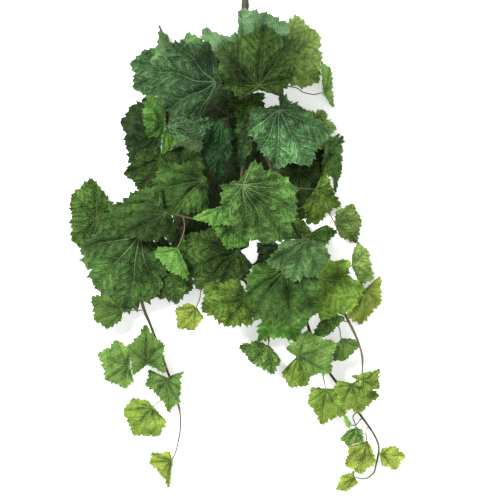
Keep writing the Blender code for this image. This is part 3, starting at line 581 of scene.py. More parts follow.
LEAVES = (
    # The leaves cut from SHADE cloth lie deep in the bush and are painted as dark as the shade there
    LeafPlan("back_leaf_upper", Tone.SHADE, (226, 96), (0.22, 0.05), ((222, 60), (186, 62), (160, 104),
        (190, 140), (228, 132)), cup=-0.12, faces_back=True),
    LeafPlan("back_leaf_lower", Tone.SHADE, (222, 204), (0.15, 0.1), ((246, 190), (212, 174), (172, 195),
        (166, 242), (208, 262), (236, 236)), cup=-0.12, faces_back=True),
    LeafPlan("back_leaf_middle", Tone.SHADE, (236, 150), (0.12, 0.0), ((244, 113), (200, 116), (162, 108),
        (168, 172), (206, 190), (246, 182)), cup=-0.1, faces_back=True),
    LeafPlan("inner_leaf_back", Tone.SHADE, (262, 138), (-0.05, 0.1), ((247, 119), (234, 158), (246, 186),
        (272, 184), (286, 168), (284, 146)), cup=-0.12, faces_back=True),
    LeafPlan("left_leaf_dark", Tone.GREY, (158, 135), (0.3, 0.0), ((144, 96), (129, 104), (119, 119),
        (125, 146), (128, 170), (154, 172)), dye_and_shading=0.2),
    LeafPlan("upper_left_leaf_olive", Tone.TEAL, (168, 72), (0.25, 0.05), ((159, 43), (142, 48), (129, 60),
        (132, 87), (148, 97), (160, 94)), dye_and_shading=0.9),
    LeafPlan("shoulder_leaf", Tone.GREY, (180, 78), (0.1, -0.35), ((150, 60), (159, 46), (158, 22), (168, 41),
        (177, 50), (187, 30), (208, 42)), notch=0.0, dye_and_shading=0.82, painted_shading=(PaintedShading((172, 58), 7, -0.35),)),
    LeafPlan("left_leaf_veined", Tone.FOREST, (160, 160), (0.28, 0.1), ((158, 146), (138, 150), (122, 173),
        (138, 190), (160, 192)), dye_and_shading=0.44),
    LeafPlan("right_leaf_shaded", Tone.FOREST, (300, 168), (-0.2, 0.15), ((284, 156), (277, 188), (287, 218),
        (303, 220), (326, 192), (331, 146), (316, 138)), via=((300, 152), (286, 146)), dye_and_shading=0.45),
    LeafPlan("right_edge_leaf", Tone.MEADOW, (332, 146), (-0.8, 0.1), ((341, 133), (326, 138), (323, 170),
        (335, 178), (336, 192), (342, 171), (344, 134)), fold=0.2, notch=0.03, dye_and_shading=0.95),
    LeafPlan("right_leaf_yellow", Tone.OLIVE, (318, 190), (-0.1, 0.3), ((304, 206), (308, 224), (318, 224),
        (342, 204), (331, 184), (326, 166)), dye_and_shading=1.1),
    LeafPlan("right_leaf_olive", Tone.SUNNY, (306, 128), (-0.2, 0.2), ((308, 111), (324, 110), (337, 127),
        (324, 149), (306, 146)), dye_and_shading=1.5),
    LeafPlan("right_leaf_small_dark", Tone.FOREST, (303, 236), (-0.2, 0.1), ((285, 239), (284, 216),
        (305, 221), (312, 233), (328, 225), (338, 231), (325, 246)), notch=0.0, dye_and_shading=1.7),
    LeafPlan("right_side_leaf_high", Tone.SUNNY, (337, 223), (-0.2, -0.1), ((337, 211), (354, 203),
        (363, 220), (358, 243), (341, 236)), cup=0.3, notch=0.0, via=((328, 211), (318, 200)), dye_and_shading=0.95),
    LeafPlan("right_side_leaf_low", Tone.SUNNY, (354, 265), (-0.3, 0.1), ((354, 255), (359, 242), (369, 250),
        (375, 279), (362, 285)), fold=0.25, notch=0.0, dye_and_shading=1.5),
    LeafPlan("right_tip_leaf_yellow", Tone.YOUNG, (366, 292), (-0.45, 0.25), ((382, 276), (382, 303),
        (362, 325), (349, 318), (349, 302)), fold=0.3, notch=0.0, via=((358, 287), (346, 294))),
    LeafPlan("middle_leaf_shaded", Tone.SHADE, (284, 250), (0.0, 0.2), ((266, 236), (257, 244), (259, 258),
        (252, 266), (270, 279), (296, 260), (301, 234)), cup=-0.12, notch=0.0, faces_back=True, dye_and_shading=0.75),
    LeafPlan("shoot_left_end_leaf", Tone.YOUNG, (170, 463), (0.05, 0.15), ((169, 453), (150, 455), (148, 465),
        (160, 477), (168, 491)), notch=0.1, grown_on="shoot_left"),
    LeafPlan("shoot_right_end_leaf", Tone.YOUNG, (355, 480), (-0.05, 0.1), ((355, 473), (342, 478),
        (337, 492), (347, 493), (359, 485)), notch=0.0, grown_on="shoot_right_low"),
    LeafPlan("shoot_right_small_leaf", Tone.STRAND, (357, 430), (0.1, 0.2), ((351, 432), (341, 442),
        (349, 449), (364, 444), (364, 432)), via=((354, 418),), grown_on="shoot_right_low", dye_and_shading=1.3),
    LeafPlan("shoot_right_edge_leaf", Tone.STRAND, (350, 428), (-0.9, 0.1), ((351, 431), (346, 426),
        (344, 415), (348, 418), (352, 425)), cup=0.05, notch=0.02, via=((357, 426),),
        grown_on="shoot_right_low", dye_and_shading=3.0),
    LeafPlan("crown_leaf_right", Tone.SUNNY, (288, 58), (-0.25, 0.0), ((283, 22), (297, 12), (321, 33),
        (322, 58), (320, 80), (304, 86), (291, 84)), cup=0.3, notch=0.03, dye_and_shading=1.55, painted_shading=(PaintedShading((284, 56),
        11, -0.3), PaintedShading((308, 68), 14, 0.5), PaintedShading((306, 26), 19, -0.45))),
    LeafPlan("crown_leaf_back", Tone.CROWN, (247, 74), (0.05, -0.15), ((204, 66), (203, 29), (221, 39),
        (238, 35), (241, 10), (268, 15), (286, 24), (290, 58)), notch=0.03, dye_and_shading=0.74, painted_shading=(PaintedShading((213, 42),
        8, 0.3), PaintedShading((252, 24), 10, 0.2))),
    LeafPlan("arched_stalk_leaf", Tone.STRAND, (325, 92), (-1.4, 0.0), ((335, 106), (334, 96), (333, 80),
        (331, 66), (322, 60)), cup=0.1, notch=0.05, via=((314, 94), (303, 92), (291, 87)), dye_and_shading=1.5),
    LeafPlan("inner_leaf_upper", Tone.FOREST, (247, 97), (0.0, 0.1), ((228, 90), (227, 114), (242, 124),
        (265, 111), (264, 94)), dye_and_shading=0.95),
    LeafPlan("inner_leaf_dark", Tone.SHADE, (248, 128), (0.1, 0.3), ((239, 121), (231, 146), (240, 167),
        (252, 150)), notch=0.02, dye_and_shading=1.5),
    LeafPlan("narrow_hanging_leaf", Tone.DEEP, (222, 124), (0.1, 0.45), ((208, 128), (201, 160), (218, 182),
        (230, 156), (232, 132)), fold=0.4, notch=0.02),
    LeafPlan("left_leaf_arched", Tone.MEADOW, (182, 172), (0.0, -0.3), ((160, 172), (161, 154), (181, 147),
        (200, 154), (206, 174)), notch=0.02, dye_and_shading=0.43, painted_shading=(PaintedShading((180, 158), 12, -0.4),)),
    LeafPlan("left_leaf_wide", Tone.MEADOW, (204, 182), (0.2, 0.15), ((196, 164), (160, 166), (150, 188),
        (164, 217), (208, 213)), dye_and_shading=0.56, painted_shading=(PaintedShading((192, 172), 11, -0.45), PaintedShading((196, 194), 6, 0.6),
        PaintedShading((186, 205), 5, 0.5), PaintedShading((168, 200), 8, -0.2))),
    LeafPlan("left_leaf_bright", Tone.BRIGHT, (163, 124), (0.35, 0.0), ((164, 96), (144, 95), (142, 117),
        (147, 136), (162, 136)), notch=0.02, dye_and_shading=0.58, painted_shading=(PaintedShading((158, 130), 6, -0.5), PaintedShading((150, 108), 6,
        0.4))),
    LeafPlan("left_leaf_bright_small", Tone.BRIGHT, (168, 130), (0.1, 0.4), ((163, 136), (164, 155),
        (171, 150), (178, 143), (175, 132)), notch=0.02, dye_and_shading=0.9),
    LeafPlan("left_leaf_crumpled", Tone.TEAL, (169, 129), (-0.1, 0.1), ((176, 117), (197, 117), (215, 124),
        (202, 141), (178, 143)), fold=0.25),
    LeafPlan("upper_left_leaf_large", Tone.TEAL, (217, 86), (0.22, 0.0), ((210, 47), (174, 46), (149, 72),
        (166, 112), (197, 121)), notch=0.04, dye_and_shading=0.56, painted_shading=(PaintedShading((207, 64), 14, -0.7), PaintedShading((166, 74), 13,
        0.35), PaintedShading((169, 98), 4, -0.4))),
    LeafPlan("far_left_leaf", Tone.FOREST, (97, 220), (0.2, 0.1), ((115, 208), (102, 192), (90, 177),
        (69, 195), (70, 241), (84, 251), (112, 238)), notch=0.0, dye_and_shading=0.8, painted_shading=(PaintedShading((80, 194), 7, 0.5),
        PaintedShading((92, 236), 10, -0.2), PaintedShading((112, 224), 8, 0.3))),
    LeafPlan("lower_left_leaf_dark", Tone.FOREST, (172, 250), (0.1, 0.3), ((158, 230), (149, 262), (158, 299),
        (177, 305), (192, 290), (193, 258), (183, 234)), dye_and_shading=0.8),
    LeafPlan("lower_left_leaf_large", Tone.HEART, (140, 236), (0.15, 0.2), ((112, 220), (79, 250), (94, 286),
        (126, 313), (157, 295), (172, 258)), notch=0.0, dye_and_shading=0.8, painted_shading=(PaintedShading((146, 242), 10, -0.5),
        PaintedShading((118, 256), 8, -0.35), PaintedShading((96, 270), 9, 0.5), PaintedShading((141, 281), 6, -0.65), PaintedShading((131, 298), 8,
        0.7))),
    LeafPlan("left_leaf_shaded", Tone.MEADOW, (160, 206), (0.15, 0.1), ((160, 186), (138, 191), (117, 204),
        (97, 224), (116, 237)), via=((163, 220), (172, 224)), dye_and_shading=0.56),
    LeafPlan("left_leaf_folded", Tone.MEADOW, (168, 214), (0.1, 0.1), ((138, 200), (104, 218), (124, 235),
        (150, 241), (178, 237)), fold=0.5, notch=0.04, dye_and_shading=0.42, painted_shading=(PaintedShading((134, 210), 12, 0.5),
        PaintedShading((150, 231), 13, -0.5))),
    LeafPlan("middle_leaf_dark", Tone.FOREST, (238, 252), (0.1, 0.1), ((246, 248), (247, 238), (226, 226),
        (184, 236), (187, 270), (197, 289), (220, 288), (249, 276), (252, 265)), notch=0.02, dye_and_shading=0.57,
        painted_shading=(PaintedShading((226, 254), 19, -0.6), PaintedShading((193, 258), 9, 0.5), PaintedShading((203, 280), 6, 0.5))),
    LeafPlan("skirt_leaf_left", Tone.OLIVE, (246, 299), (0.15, 0.2), ((239, 280), (205, 284), (202, 310),
        (226, 326), (253, 323)), notch=0.02, dye_and_shading=0.88, painted_shading=(PaintedShading((216, 297), 8, 0.5), PaintedShading((240, 300), 8,
        -0.6))),
    LeafPlan("skirt_leaf_bright", Tone.BRIGHT, (284, 300), (0.0, 0.35), ((262, 304), (258, 342), (281, 337),
        (297, 343), (310, 318)), notch=0.04, dye_and_shading=1.7),
    LeafPlan("skirt_leaf_right_dark", Tone.FOREST, (336, 316), (0.1, 0.2), ((330, 308), (320, 322),
        (311, 340), (329, 335), (345, 318)), notch=0.02, dye_and_shading=1.5),
    LeafPlan("skirt_leaf_right", Tone.OLIVE, (313, 276), (-0.2, 0.15), ((320, 261), (350, 261), (347, 275),
        (365, 288), (352, 310), (320, 320)), notch=0.0, dye_and_shading=2.0, painted_shading=(PaintedShading((330, 280), 10, -0.3),
        PaintedShading((346, 262), 7, 0.4))),
    LeafPlan("skirt_leaf_middle", Tone.MEADOW, (286, 268), (0.0, 0.2), ((255, 264), (247, 277), (246, 297),
        (253, 318), (290, 324), (317, 312), (317, 278)), notch=0.02, dye_and_shading=0.74, painted_shading=(PaintedShading((280, 288), 15,
        -0.55), PaintedShading((300, 318), 8, 0.7), PaintedShading((260, 272), 7, 0.2))),
    LeafPlan("middle_leaf_right", Tone.GREY, (304, 242), (0.0, 0.3), ((283, 241), (266, 262), (292, 281),
        (318, 273), (329, 257), (321, 243)), notch=0.02, dye_and_shading=0.9, painted_shading=(PaintedShading((280, 256), 9, -0.6),
        PaintedShading((306, 262), 9, 0.35), PaintedShading((320, 250), 6, -0.3))),
    LeafPlan("middle_leaf_bright", Tone.BRIGHT, (229, 228), (0.0, 0.3), ((211, 224), (221, 240), (227, 249),
        (249, 246), (250, 235)), notch=0.02, dye_and_shading=0.85, painted_shading=(PaintedShading((227, 229), 7, -0.6), PaintedShading((236, 244), 7,
        0.4))),
    LeafPlan("heart_leaf_bright", Tone.LIME, (221, 210), (0.1, 1.0), ((208, 211), (193, 219), (214, 226),
        (234, 226), (237, 215)), fold=0.2, dye_and_shading=1.15),
    LeafPlan("heart_leaf", Tone.HEART, (243, 187), (0.0, 0.2), ((252, 164), (284, 180), (296, 190),
        (295, 212), (290, 241), (265, 244), (244, 238), (222, 213), (222, 186)), notch=0.06, dye_and_shading=1.05,
        painted_shading=(PaintedShading((270, 178), 8, 0.35), PaintedShading((256, 202), 6, -0.6), PaintedShading((240, 212), 5, -0.5),
        PaintedShading((288, 188), 7, 0.5), PaintedShading((230, 195), 6, 0.3), PaintedShading((266, 222), 10, -0.2))),
    LeafPlan("front_leaf_right", Tone.TEAL, (279, 111), (-0.2, 0.15), ((278, 93), (303, 110), (333, 133),
        (310, 166), (276, 169), (260, 151), (248, 134), (251, 112)), notch=0.1, dye_and_shading=1.4,
        painted_shading=(PaintedShading((259, 130), 6, 0.5), PaintedShading((293, 150), 8, 0.9), PaintedShading((299, 124), 6, -0.5),
        PaintedShading((311, 136), 7, -0.5), PaintedShading((326, 138), 7, 0.3))),
    LeafPlan("crown_leaf_front", Tone.FOREST, (259, 90), (0.0, -0.15), ((243, 101), (216, 86), (221, 52),
        (264, 29), (292, 46), (291, 82), (280, 100)), notch=0.03, dye_and_shading=0.44, painted_shading=(PaintedShading((216, 74), 8, 0.8),
        PaintedShading((238, 79), 14, -0.55), PaintedShading((246, 52), 10, 0.35), PaintedShading((282, 66), 8, -0.3))),
    LeafPlan("hanging_leaf_bright", Tone.LIME, (177, 250), (0.2, 0.3), ((160, 247), (153, 253), (171, 271),
        (189, 280), (184, 262)), fold=0.5, notch=0.02, via=((181, 242), (185, 228), (184, 210)), dye_and_shading=0.76),
    LeafPlan("hanging_leaf_small", Tone.YOUNG, (196, 308), (0.1, 0.1), ((188, 303), (176, 309), (178, 328),
        (194, 330), (204, 317)), notch=0.0, via=((200, 298), (205, 286)), dye_and_shading=0.75),
    LeafPlan("strand_left_leaf_1", Tone.STRAND, (121, 311), (0.15, 0.1), ((111, 293), (91, 297), (94, 321),
        (107, 329), (120, 320)), notch=0.0, dye_and_shading=0.62),
    LeafPlan("strand_left_leaf_2", Tone.STRAND, (126, 367), (0.15, 0.1), ((132, 350), (115, 341), (96, 355),
        (104, 382), (124, 390), (132, 382)), notch=0.06, dye_and_shading=1.1),
    LeafPlan("strand_left_leaf_3", Tone.STRAND, (147, 362), (-0.1, -0.2), ((133, 375), (128, 347), (145, 325),
        (163, 345), (165, 373)), notch=0.06, dye_and_shading=0.8),
    LeafPlan("strand_left_leaf_4", Tone.STRAND, (167, 381), (0.0, 0.1), ((148, 371), (144, 386), (157, 397),
        (168, 414), (179, 404), (180, 390), (183, 372)), fold=0.2, notch=0.1, grown_on="shoot_left",
        dye_and_shading=1.05),
    LeafPlan("strand_left_leaf_5", Tone.SPRING, (151, 410), (0.05, 0.1), ((145, 401), (131, 400), (122, 412),
        (132, 437), (158, 438), (165, 423)), notch=0.0, via=((160, 402),), grown_on="shoot_left", dye_and_shading=1.1),
    LeafPlan("strand_right_leaf_1", Tone.FOREST, (268, 348), (0.15, 0.2), ((257, 341), (239, 348), (252, 364),
        (273, 375), (281, 361)), fold=0.2, notch=0.02, dye_and_shading=1.5),
    LeafPlan("strand_right_leaf_2", Tone.SPRING, (298, 358), (0.0, 0.15), ((290, 366), (283, 376), (291, 389),
        (308, 387), (313, 371)), notch=0.0),
    LeafPlan("strand_right_leaf_3", Tone.STRAND, (342, 340), (-0.1, 0.1), ((337, 344), (333, 361), (345, 361),
        (360, 347), (356, 340)), notch=0.0, via=((340, 330), (337, 320)), grown_on="shoot_right"),
    LeafPlan("strand_right_leaf_4", Tone.STRAND, (299, 355), (-0.15, 0.0), ((286, 348), (306, 331),
        (336, 343), (331, 373), (310, 375)), notch=0.04, dye_and_shading=1.1),
    LeafPlan("strand_right_leaf_5", Tone.SPRING, (326, 391), (0.0, 0.1), ((311, 388), (308, 403), (322, 426),
        (346, 415), (346, 391)), notch=0.06, via=((325, 384), (323, 372)), grown_on="shoot_right_low"),
    LeafPlan("strand_right_leaf_6", Tone.SPRING, (352, 385), (0.0, 0.15), ((338, 381), (334, 388), (343, 409),
        (361, 413), (380, 396), (357, 380)), notch=0.02),
    LeafPlan("strand_right_leaf_7", Tone.SPRING, (363, 381), (-0.1, 0.1), ((351, 376), (366, 372), (380, 369),
        (380, 388), (364, 395)), via=((363, 365),), grown_on="shoot_right"),
    LeafPlan("strand_right_leaf_8", Tone.YOUNG, (367, 444), (0.1, 0.15), ((350, 448), (346, 467), (362, 476),
        (376, 463), (371, 447)), notch=0.02, via=((367, 430),), grown_on="shoot_right_low"),
    LeafPlan("strand_right_leaf_9", Tone.YOUNG, (382, 456), (-0.1, 0.05), ((384, 450), (397, 448), (407, 458),
        (398, 472), (383, 466)), notch=0.04, grown_on="shoot_right_low", dye_and_shading=1.25),
)

SHOOTS = (
    ShootPlan("main_stem", ((245, -7), (245, 15), (243, 50), (240, 85), (238, 112)), (6.0, 4.6),
        cut_end=True),
    ShootPlan("shoot_left", ((230, 118), (214, 165), (182, 230), (152, 276), (141, 298), (149, 323),
        (158, 347), (166, 370), (174, 392), (178, 407), (180, 421), (179, 436), (175, 454), (171, 462)),
        (3.2, 1.0)),
    ShootPlan("shoot_centre", ((239, 119), (243, 160), (238, 205), (234, 250), (250, 290), (266, 318),
        (269, 342)), (3.2, 1.6)),
    ShootPlan("shoot_right", ((247, 118), (268, 160), (288, 215), (318, 268), (340, 305), (357, 338),
        (363, 358), (363, 374)), (3.2, 1.5)),
    ShootPlan("shoot_right_low", ((282, 214), (290, 262), (304, 312), (318, 354), (328, 371), (344, 392),
        (359, 413), (367, 424), (375, 436), (380, 448), (379, 460), (375, 473), (367, 480), (358, 480)),
        (2.6, 1.1)),
)


def sheet_of(columns: int, rows: int) -> tuple[bmesh.types.BMesh, np.ndarray, np.ndarray]:
    """A sheet of quads, ready to be rolled or wrapped.

    Args:
        columns: Quads across.
        rows: Quads up.

    Returns:
        The sheet, and for each of its corners the column and the row that it is on.
    """
    sheet = bmesh.new()
    bmesh.ops.create_grid(sheet, x_segments=columns, y_segments=rows, size=1.0)
    at = np.array([vertex.co[:2] for vertex in sheet.verts]) / 2 + 0.5
    return sheet, np.rint(at[:, 0] * columns).astype(int), np.rint(at[:, 1] * rows).astype(int)


def above_floor(heights: np.ndarray) -> np.ndarray:
    """Heights that level out just above the floor where they would go through it."""
    low = FLOOR_EASE * np.exp(np.minimum(heights - 2 * FLOOR_EASE, 0.0) / FLOOR_EASE) + FLOOR_EASE
    return np.where(heights < 2 * FLOOR_EASE, low, heights)


def below_crest(heights: np.ndarray) -> np.ndarray:
    """Heights that level out just below the bush's top where they would go over it."""
    over = np.maximum(heights - CREST + CREST_EASE, 0.0)
    return np.where(over > 0, CREST - CREST_EASE * np.exp(-over / CREST_EASE), heights)


def settle(sheet: bmesh.types.BMesh, points: np.ndarray) -> None:
    """Move a sheet's corners to their points."""
    for vertex, point in zip(sheet.verts, points):
        vertex.co = point


def note(sheet: bmesh.types.BMesh, layer: object, values: np.ndarray) -> None:
    """Keep a value with each corner of a sheet, in an attribute that a material reads."""
    for vertex, value in zip(sheet.verts, values):
        vertex[layer] = value


def soften(sheet: bmesh.types.BMesh) -> None:
    """Round all edges in the light but the sharp ones."""
    for edge in sheet.edges:
        edge.smooth = edge.calc_face_angle(0.0) < SHARP_EDGE


def mesh_of(name: str, sheet: bmesh.types.BMesh) -> bpy.types.Mesh:
    """Turn a sheet into a mesh and free it.

    Args:
        name: The mesh's name.
        sheet: The sheet.

    Returns:
        The mesh.
    """
    mesh = bpy.data.meshes.new(name)
    sheet.to_mesh(mesh)
    sheet.free()
    return mesh


def in_scene(name: str, data: bpy.types.ID) -> bpy.types.Object:
    """Put a mesh, a lamp or a camera in the scene.

    Args:
        name: The object's name.
        data: What it shows.

    Returns:
        The object.
    """
    made = bpy.data.objects.new(name, data)
    bpy.context.scene.collection.objects.link(made)
    return made


def put_in_place(mesh: bpy.types.Mesh, node: str) -> bpy.types.Object:
    """Make a finished mesh the piece that stands for a node.

    Args:
        mesh: The mesh, with its materials.
        node: The node's name.

    Returns:
        The piece, in its place.
    """
    piece = in_scene(mesh.name, mesh)
    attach(piece, BODY)
    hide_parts(node)
    return piece


def smooth_line(points: list[np.ndarray], steps: int) -> list[np.ndarray]:
    """Points along a smooth curve through the given ones.

    Args:
        points: The points passed.
        steps: Number of steps between two of them.

    Returns:
        The curve's points.
    """
    line = []
    last = len(points) - 1
    for i in range(last):
        before, start = points[max(i - 1, 0)], points[i]
        end, after = points[i + 1], points[min(i + 2, last)]
        for part in range(steps):
            t = part / steps
            bow = 2 * before - 5 * start + 4 * end - after
            twist = 3 * start - before - 3 * end + after
            line.append(0.5 * (2 * start + (end - before) * t + bow * t**2 + twist * t**3))
    line.append(points[-1])
    return line


# A tube's rounded end: how wide each ring is and how far it is ahead of the last point, in radii
TUBE_CAP = ((0.6, 0.55), (0.0, 0.8))
TUBE_WELD = 1e-7
ACROSS_START = (0.3, 0.2, 1.0)


@dataclass
class Tube:
    """A round tapered shoot or stalk along a line, with rounded ends and swollen rings at its nodes."""

    line: list[np.ndarray]
    radii: np.ndarray
    columns: int = 10
    swelling: float = 0.0
    node_gap: float = 0.045
    node_share: float = 0.09
    flat_start: bool = False

    def rings(self) -> tuple[np.ndarray, np.ndarray, np.ndarray]:
        """The rings from end to end.

        Returns:
            The point that each is at, how wide it is and how far it is ahead of its point, in radii.
        """
        last = len(self.line) - 1
        start = [(0, 0.0, 0.0)] if self.flat_start else [(0, wide, -ahead) for wide, ahead in TUBE_CAP[::-1]]
        rings = start + [(i, 1.0, 0.0) for i in range(last + 1)] + [(last, *ring) for ring in TUBE_CAP]
        return tuple(np.array(part) for part in zip(*rings))

    def sheet(self) -> bmesh.types.BMesh:
        """Roll a sheet round the line.

        Returns:
            The closed tube, with the bark's place on each corner: round, along and share of the length.
        """
        points = np.array(self.line)
        along = np.concatenate([[0.0], np.cumsum(np.linalg.norm(np.diff(points, axis=0), axis=1))])
        from_node = (along / self.node_gap) % 1.0 - 0.5
        radii = self.radii * (1 + self.swelling * np.exp(-((from_node / self.node_share) ** 2)))
        directions = np.gradient(points, axis=0)
        directions /= np.linalg.norm(directions, axis=1)[:, None]
        at, wide, ahead = self.rings()
        sheet, columns, rows = sheet_of(self.columns, len(at) - 1)
        turn = columns / self.columns * 2 * math.pi
        index = at[rows]
        side, up = (across[index] for across in self.frames(directions))
        out = side * np.cos(turn)[:, None] + up * np.sin(turn)[:, None]
        size = radii[index]
        placed = points[index] + out * (size * wide[rows])[:, None]
        settle(sheet, placed + directions[index] * (size * ahead[rows])[:, None])
        note(sheet, sheet.verts.layers.float_vector.new(BARK_PLACE),
             np.stack([turn * size, along[index], along[index] / along[-1]], axis=1))
        bmesh.ops.remove_doubles(sheet, verts=sheet.verts, dist=TUBE_WELD)
        bmesh.ops.recalc_face_normals(sheet, faces=sheet.faces)
        return sheet

    def frames(self, directions: np.ndarray) -> tuple[np.ndarray, np.ndarray]:
        """Two directions across the tube at each point, carried along it without twisting.

        Args:
            directions: The line's direction at each point.

        Returns:
            The sideways directions and the upward ones.
        """
        side = np.cross(directions[0], ACROSS_START)
        sides = []
        for direction in directions:
            side = side - direction * np.dot(side, direction)
            side = side / np.linalg.norm(side)
            sides.append(side)
        return np.array(sides), np.cross(directions, sides)


# How the frame's solids are read, in metres unless they are shares
FRAME_WELD = 1e-5
AT_HUB = 0.0003
ON_BLADE = 1e-4
UNDER_FLOOR = -0.1
SHOOT_HEIGHT = 0.03
FACETED_RADIUS = 0.93
STALK_CORNERS = 4


@dataclass
class FrameSolid:
    """One node of the frame, read for where its leaf or shoot lies."""

    node: bpy.types.Object

    def __post_init__(self) -> None:
        """Weld a copy of the node's triangles."""
        self.welded = bmesh.new()
        self.welded.from_mesh(self.node.data)
        bmesh.ops.remove_doubles(self.welded, verts=self.welded.verts, dist=FRAME_WELD)
        self.welded.verts.ensure_lookup_table()
        self.points = np.array([vertex.co[:] for vertex in self.welded.verts])
        self.tree = BVHTree.FromBMesh(self.welded)

    def hub_height(self, plan: LeafPlan) -> float:
        """Height of the face of a blade at its hub.

        Args:
            plan: The leaf.

        Returns:
            The height in metres.
        """
        away = np.hypot(*(self.points[:, :2] - place(*plan.hub)).T)
        heights = self.points[away < AT_HUB, 2]
        if not len(heights):
            heights = self.points[[away.argmin()], 2]
        return float(heights.min() + SOLID_THICKNESS if plan.faces_back else heights.max())

    def axis_point(self, x: float, y: float, radius: float) -> np.ndarray:
        """The point of a shoot's axis over a ground position, found from beneath the shoot.

        Args:
            x: Ground position.
            y: Ground position.
            radius: The shoot's radius there.

        Returns:
            The point.
        """
        hit = self.tree.ray_cast(Vector((x, y, UNDER_FLOOR)), Vector((0, 0, 1)))[0]
        if hit is None:
            hit = self.tree.find_nearest(Vector((x, y, SHOOT_HEIGHT)))[0]
        return np.array((x, y, hit.z + FACETED_RADIUS * radius))

    def stalk_end(self, blade: np.ndarray) -> np.ndarray:
        """The free end of a leaf's stalk: the corners that are the most edges away from the blade.

        Args:
            blade: Ground positions of the blade's corners.

        Returns:
            The middle of the end's ring.
        """
        gaps = np.linalg.norm(self.points[:, None, :2] - blade[None], axis=2).min(axis=1)
        reached = set(np.flatnonzero(gaps < ON_BLADE).tolist())
        last = edge = set(reached)
        while edge:
            last = edge
            links = (link for i in edge for link in self.welded.verts[i].link_edges)
            edge = {other.index for link in links for other in link.verts} - reached
            reached |= edge
        start = self.points[min(last)]
        ring = np.linalg.norm(self.points - start, axis=1).argsort()[:STALK_CORNERS]
        return self.points[ring].mean(axis=0)


# The points of a tooth: share of its width and of its height, leaning towards the lobe's end
TOOTH_TOWARDS_START = ((0.0, -0.5), (0.11, 0.0), (0.20, 0.6), (0.48, 0.08), (0.76, -0.12))
TOOTH_TOWARDS_END = ((0.0, -0.5), (0.24, -0.12), (0.52, 0.08), (0.80, 0.6), (0.89, 0.0))

# How uneven a rim is: what its teeth are multiplied by, how far they shift, and how the scallops lean
TOOTH_HEIGHTS = (0.45, 0.7, 1.0, 1.35)
TOOTH_SHIFT = 0.15
STALK_TOOTH_SHARE = 0.5
STALK_SCALLOP_SHARE = 0.3
SCALLOP_LEAN = (0.8, 1.25)
SCALLOP_ROUNDNESS = 0.8
SCALLOP_MIDDLE = 0.35

# How the surface lies: widths in gaps between branch veins, the rest as shares of the reach or powers
CALM_AT_HUB = 0.25
GROOVE_WIDTH = 0.7
GROOVE_FADE = 0.5
PILLOW_ROUNDNESS = 0.7
PILLOW_RISE = 0.6
PILLOW_MIDDLE = 0.5
CURL_BACK = 0.15
CURL_POWER = 4
BEND_PEAK = 4
SEED_STEP = 7.3
DYE_CLOUDING = 0.5
BLADE_WELD = 1e-6
LEAST_ROWS, MOST_ROWS = 9, 28
HAIR = 1e-9

# Where each leaf's flat map starts, so that no two leaves have the same blotches
MAP_STEPS = np.array((0.37, 0.59))
MAP_SPAN = 3


class Swell(Enum):
    """Kinds of slow waves over a blade: the length of one as a share of the reach, and what sets it apart."""

    LIMP = (0.50, 0.0)
    CRUMPLE = (0.24, 3.1)
    CURL = (0.65, 6.2)
    DYE = (0.40, 9.4)
    ASIDE = (0.60, 12.5)
    ALONG = (0.60, 15.5)


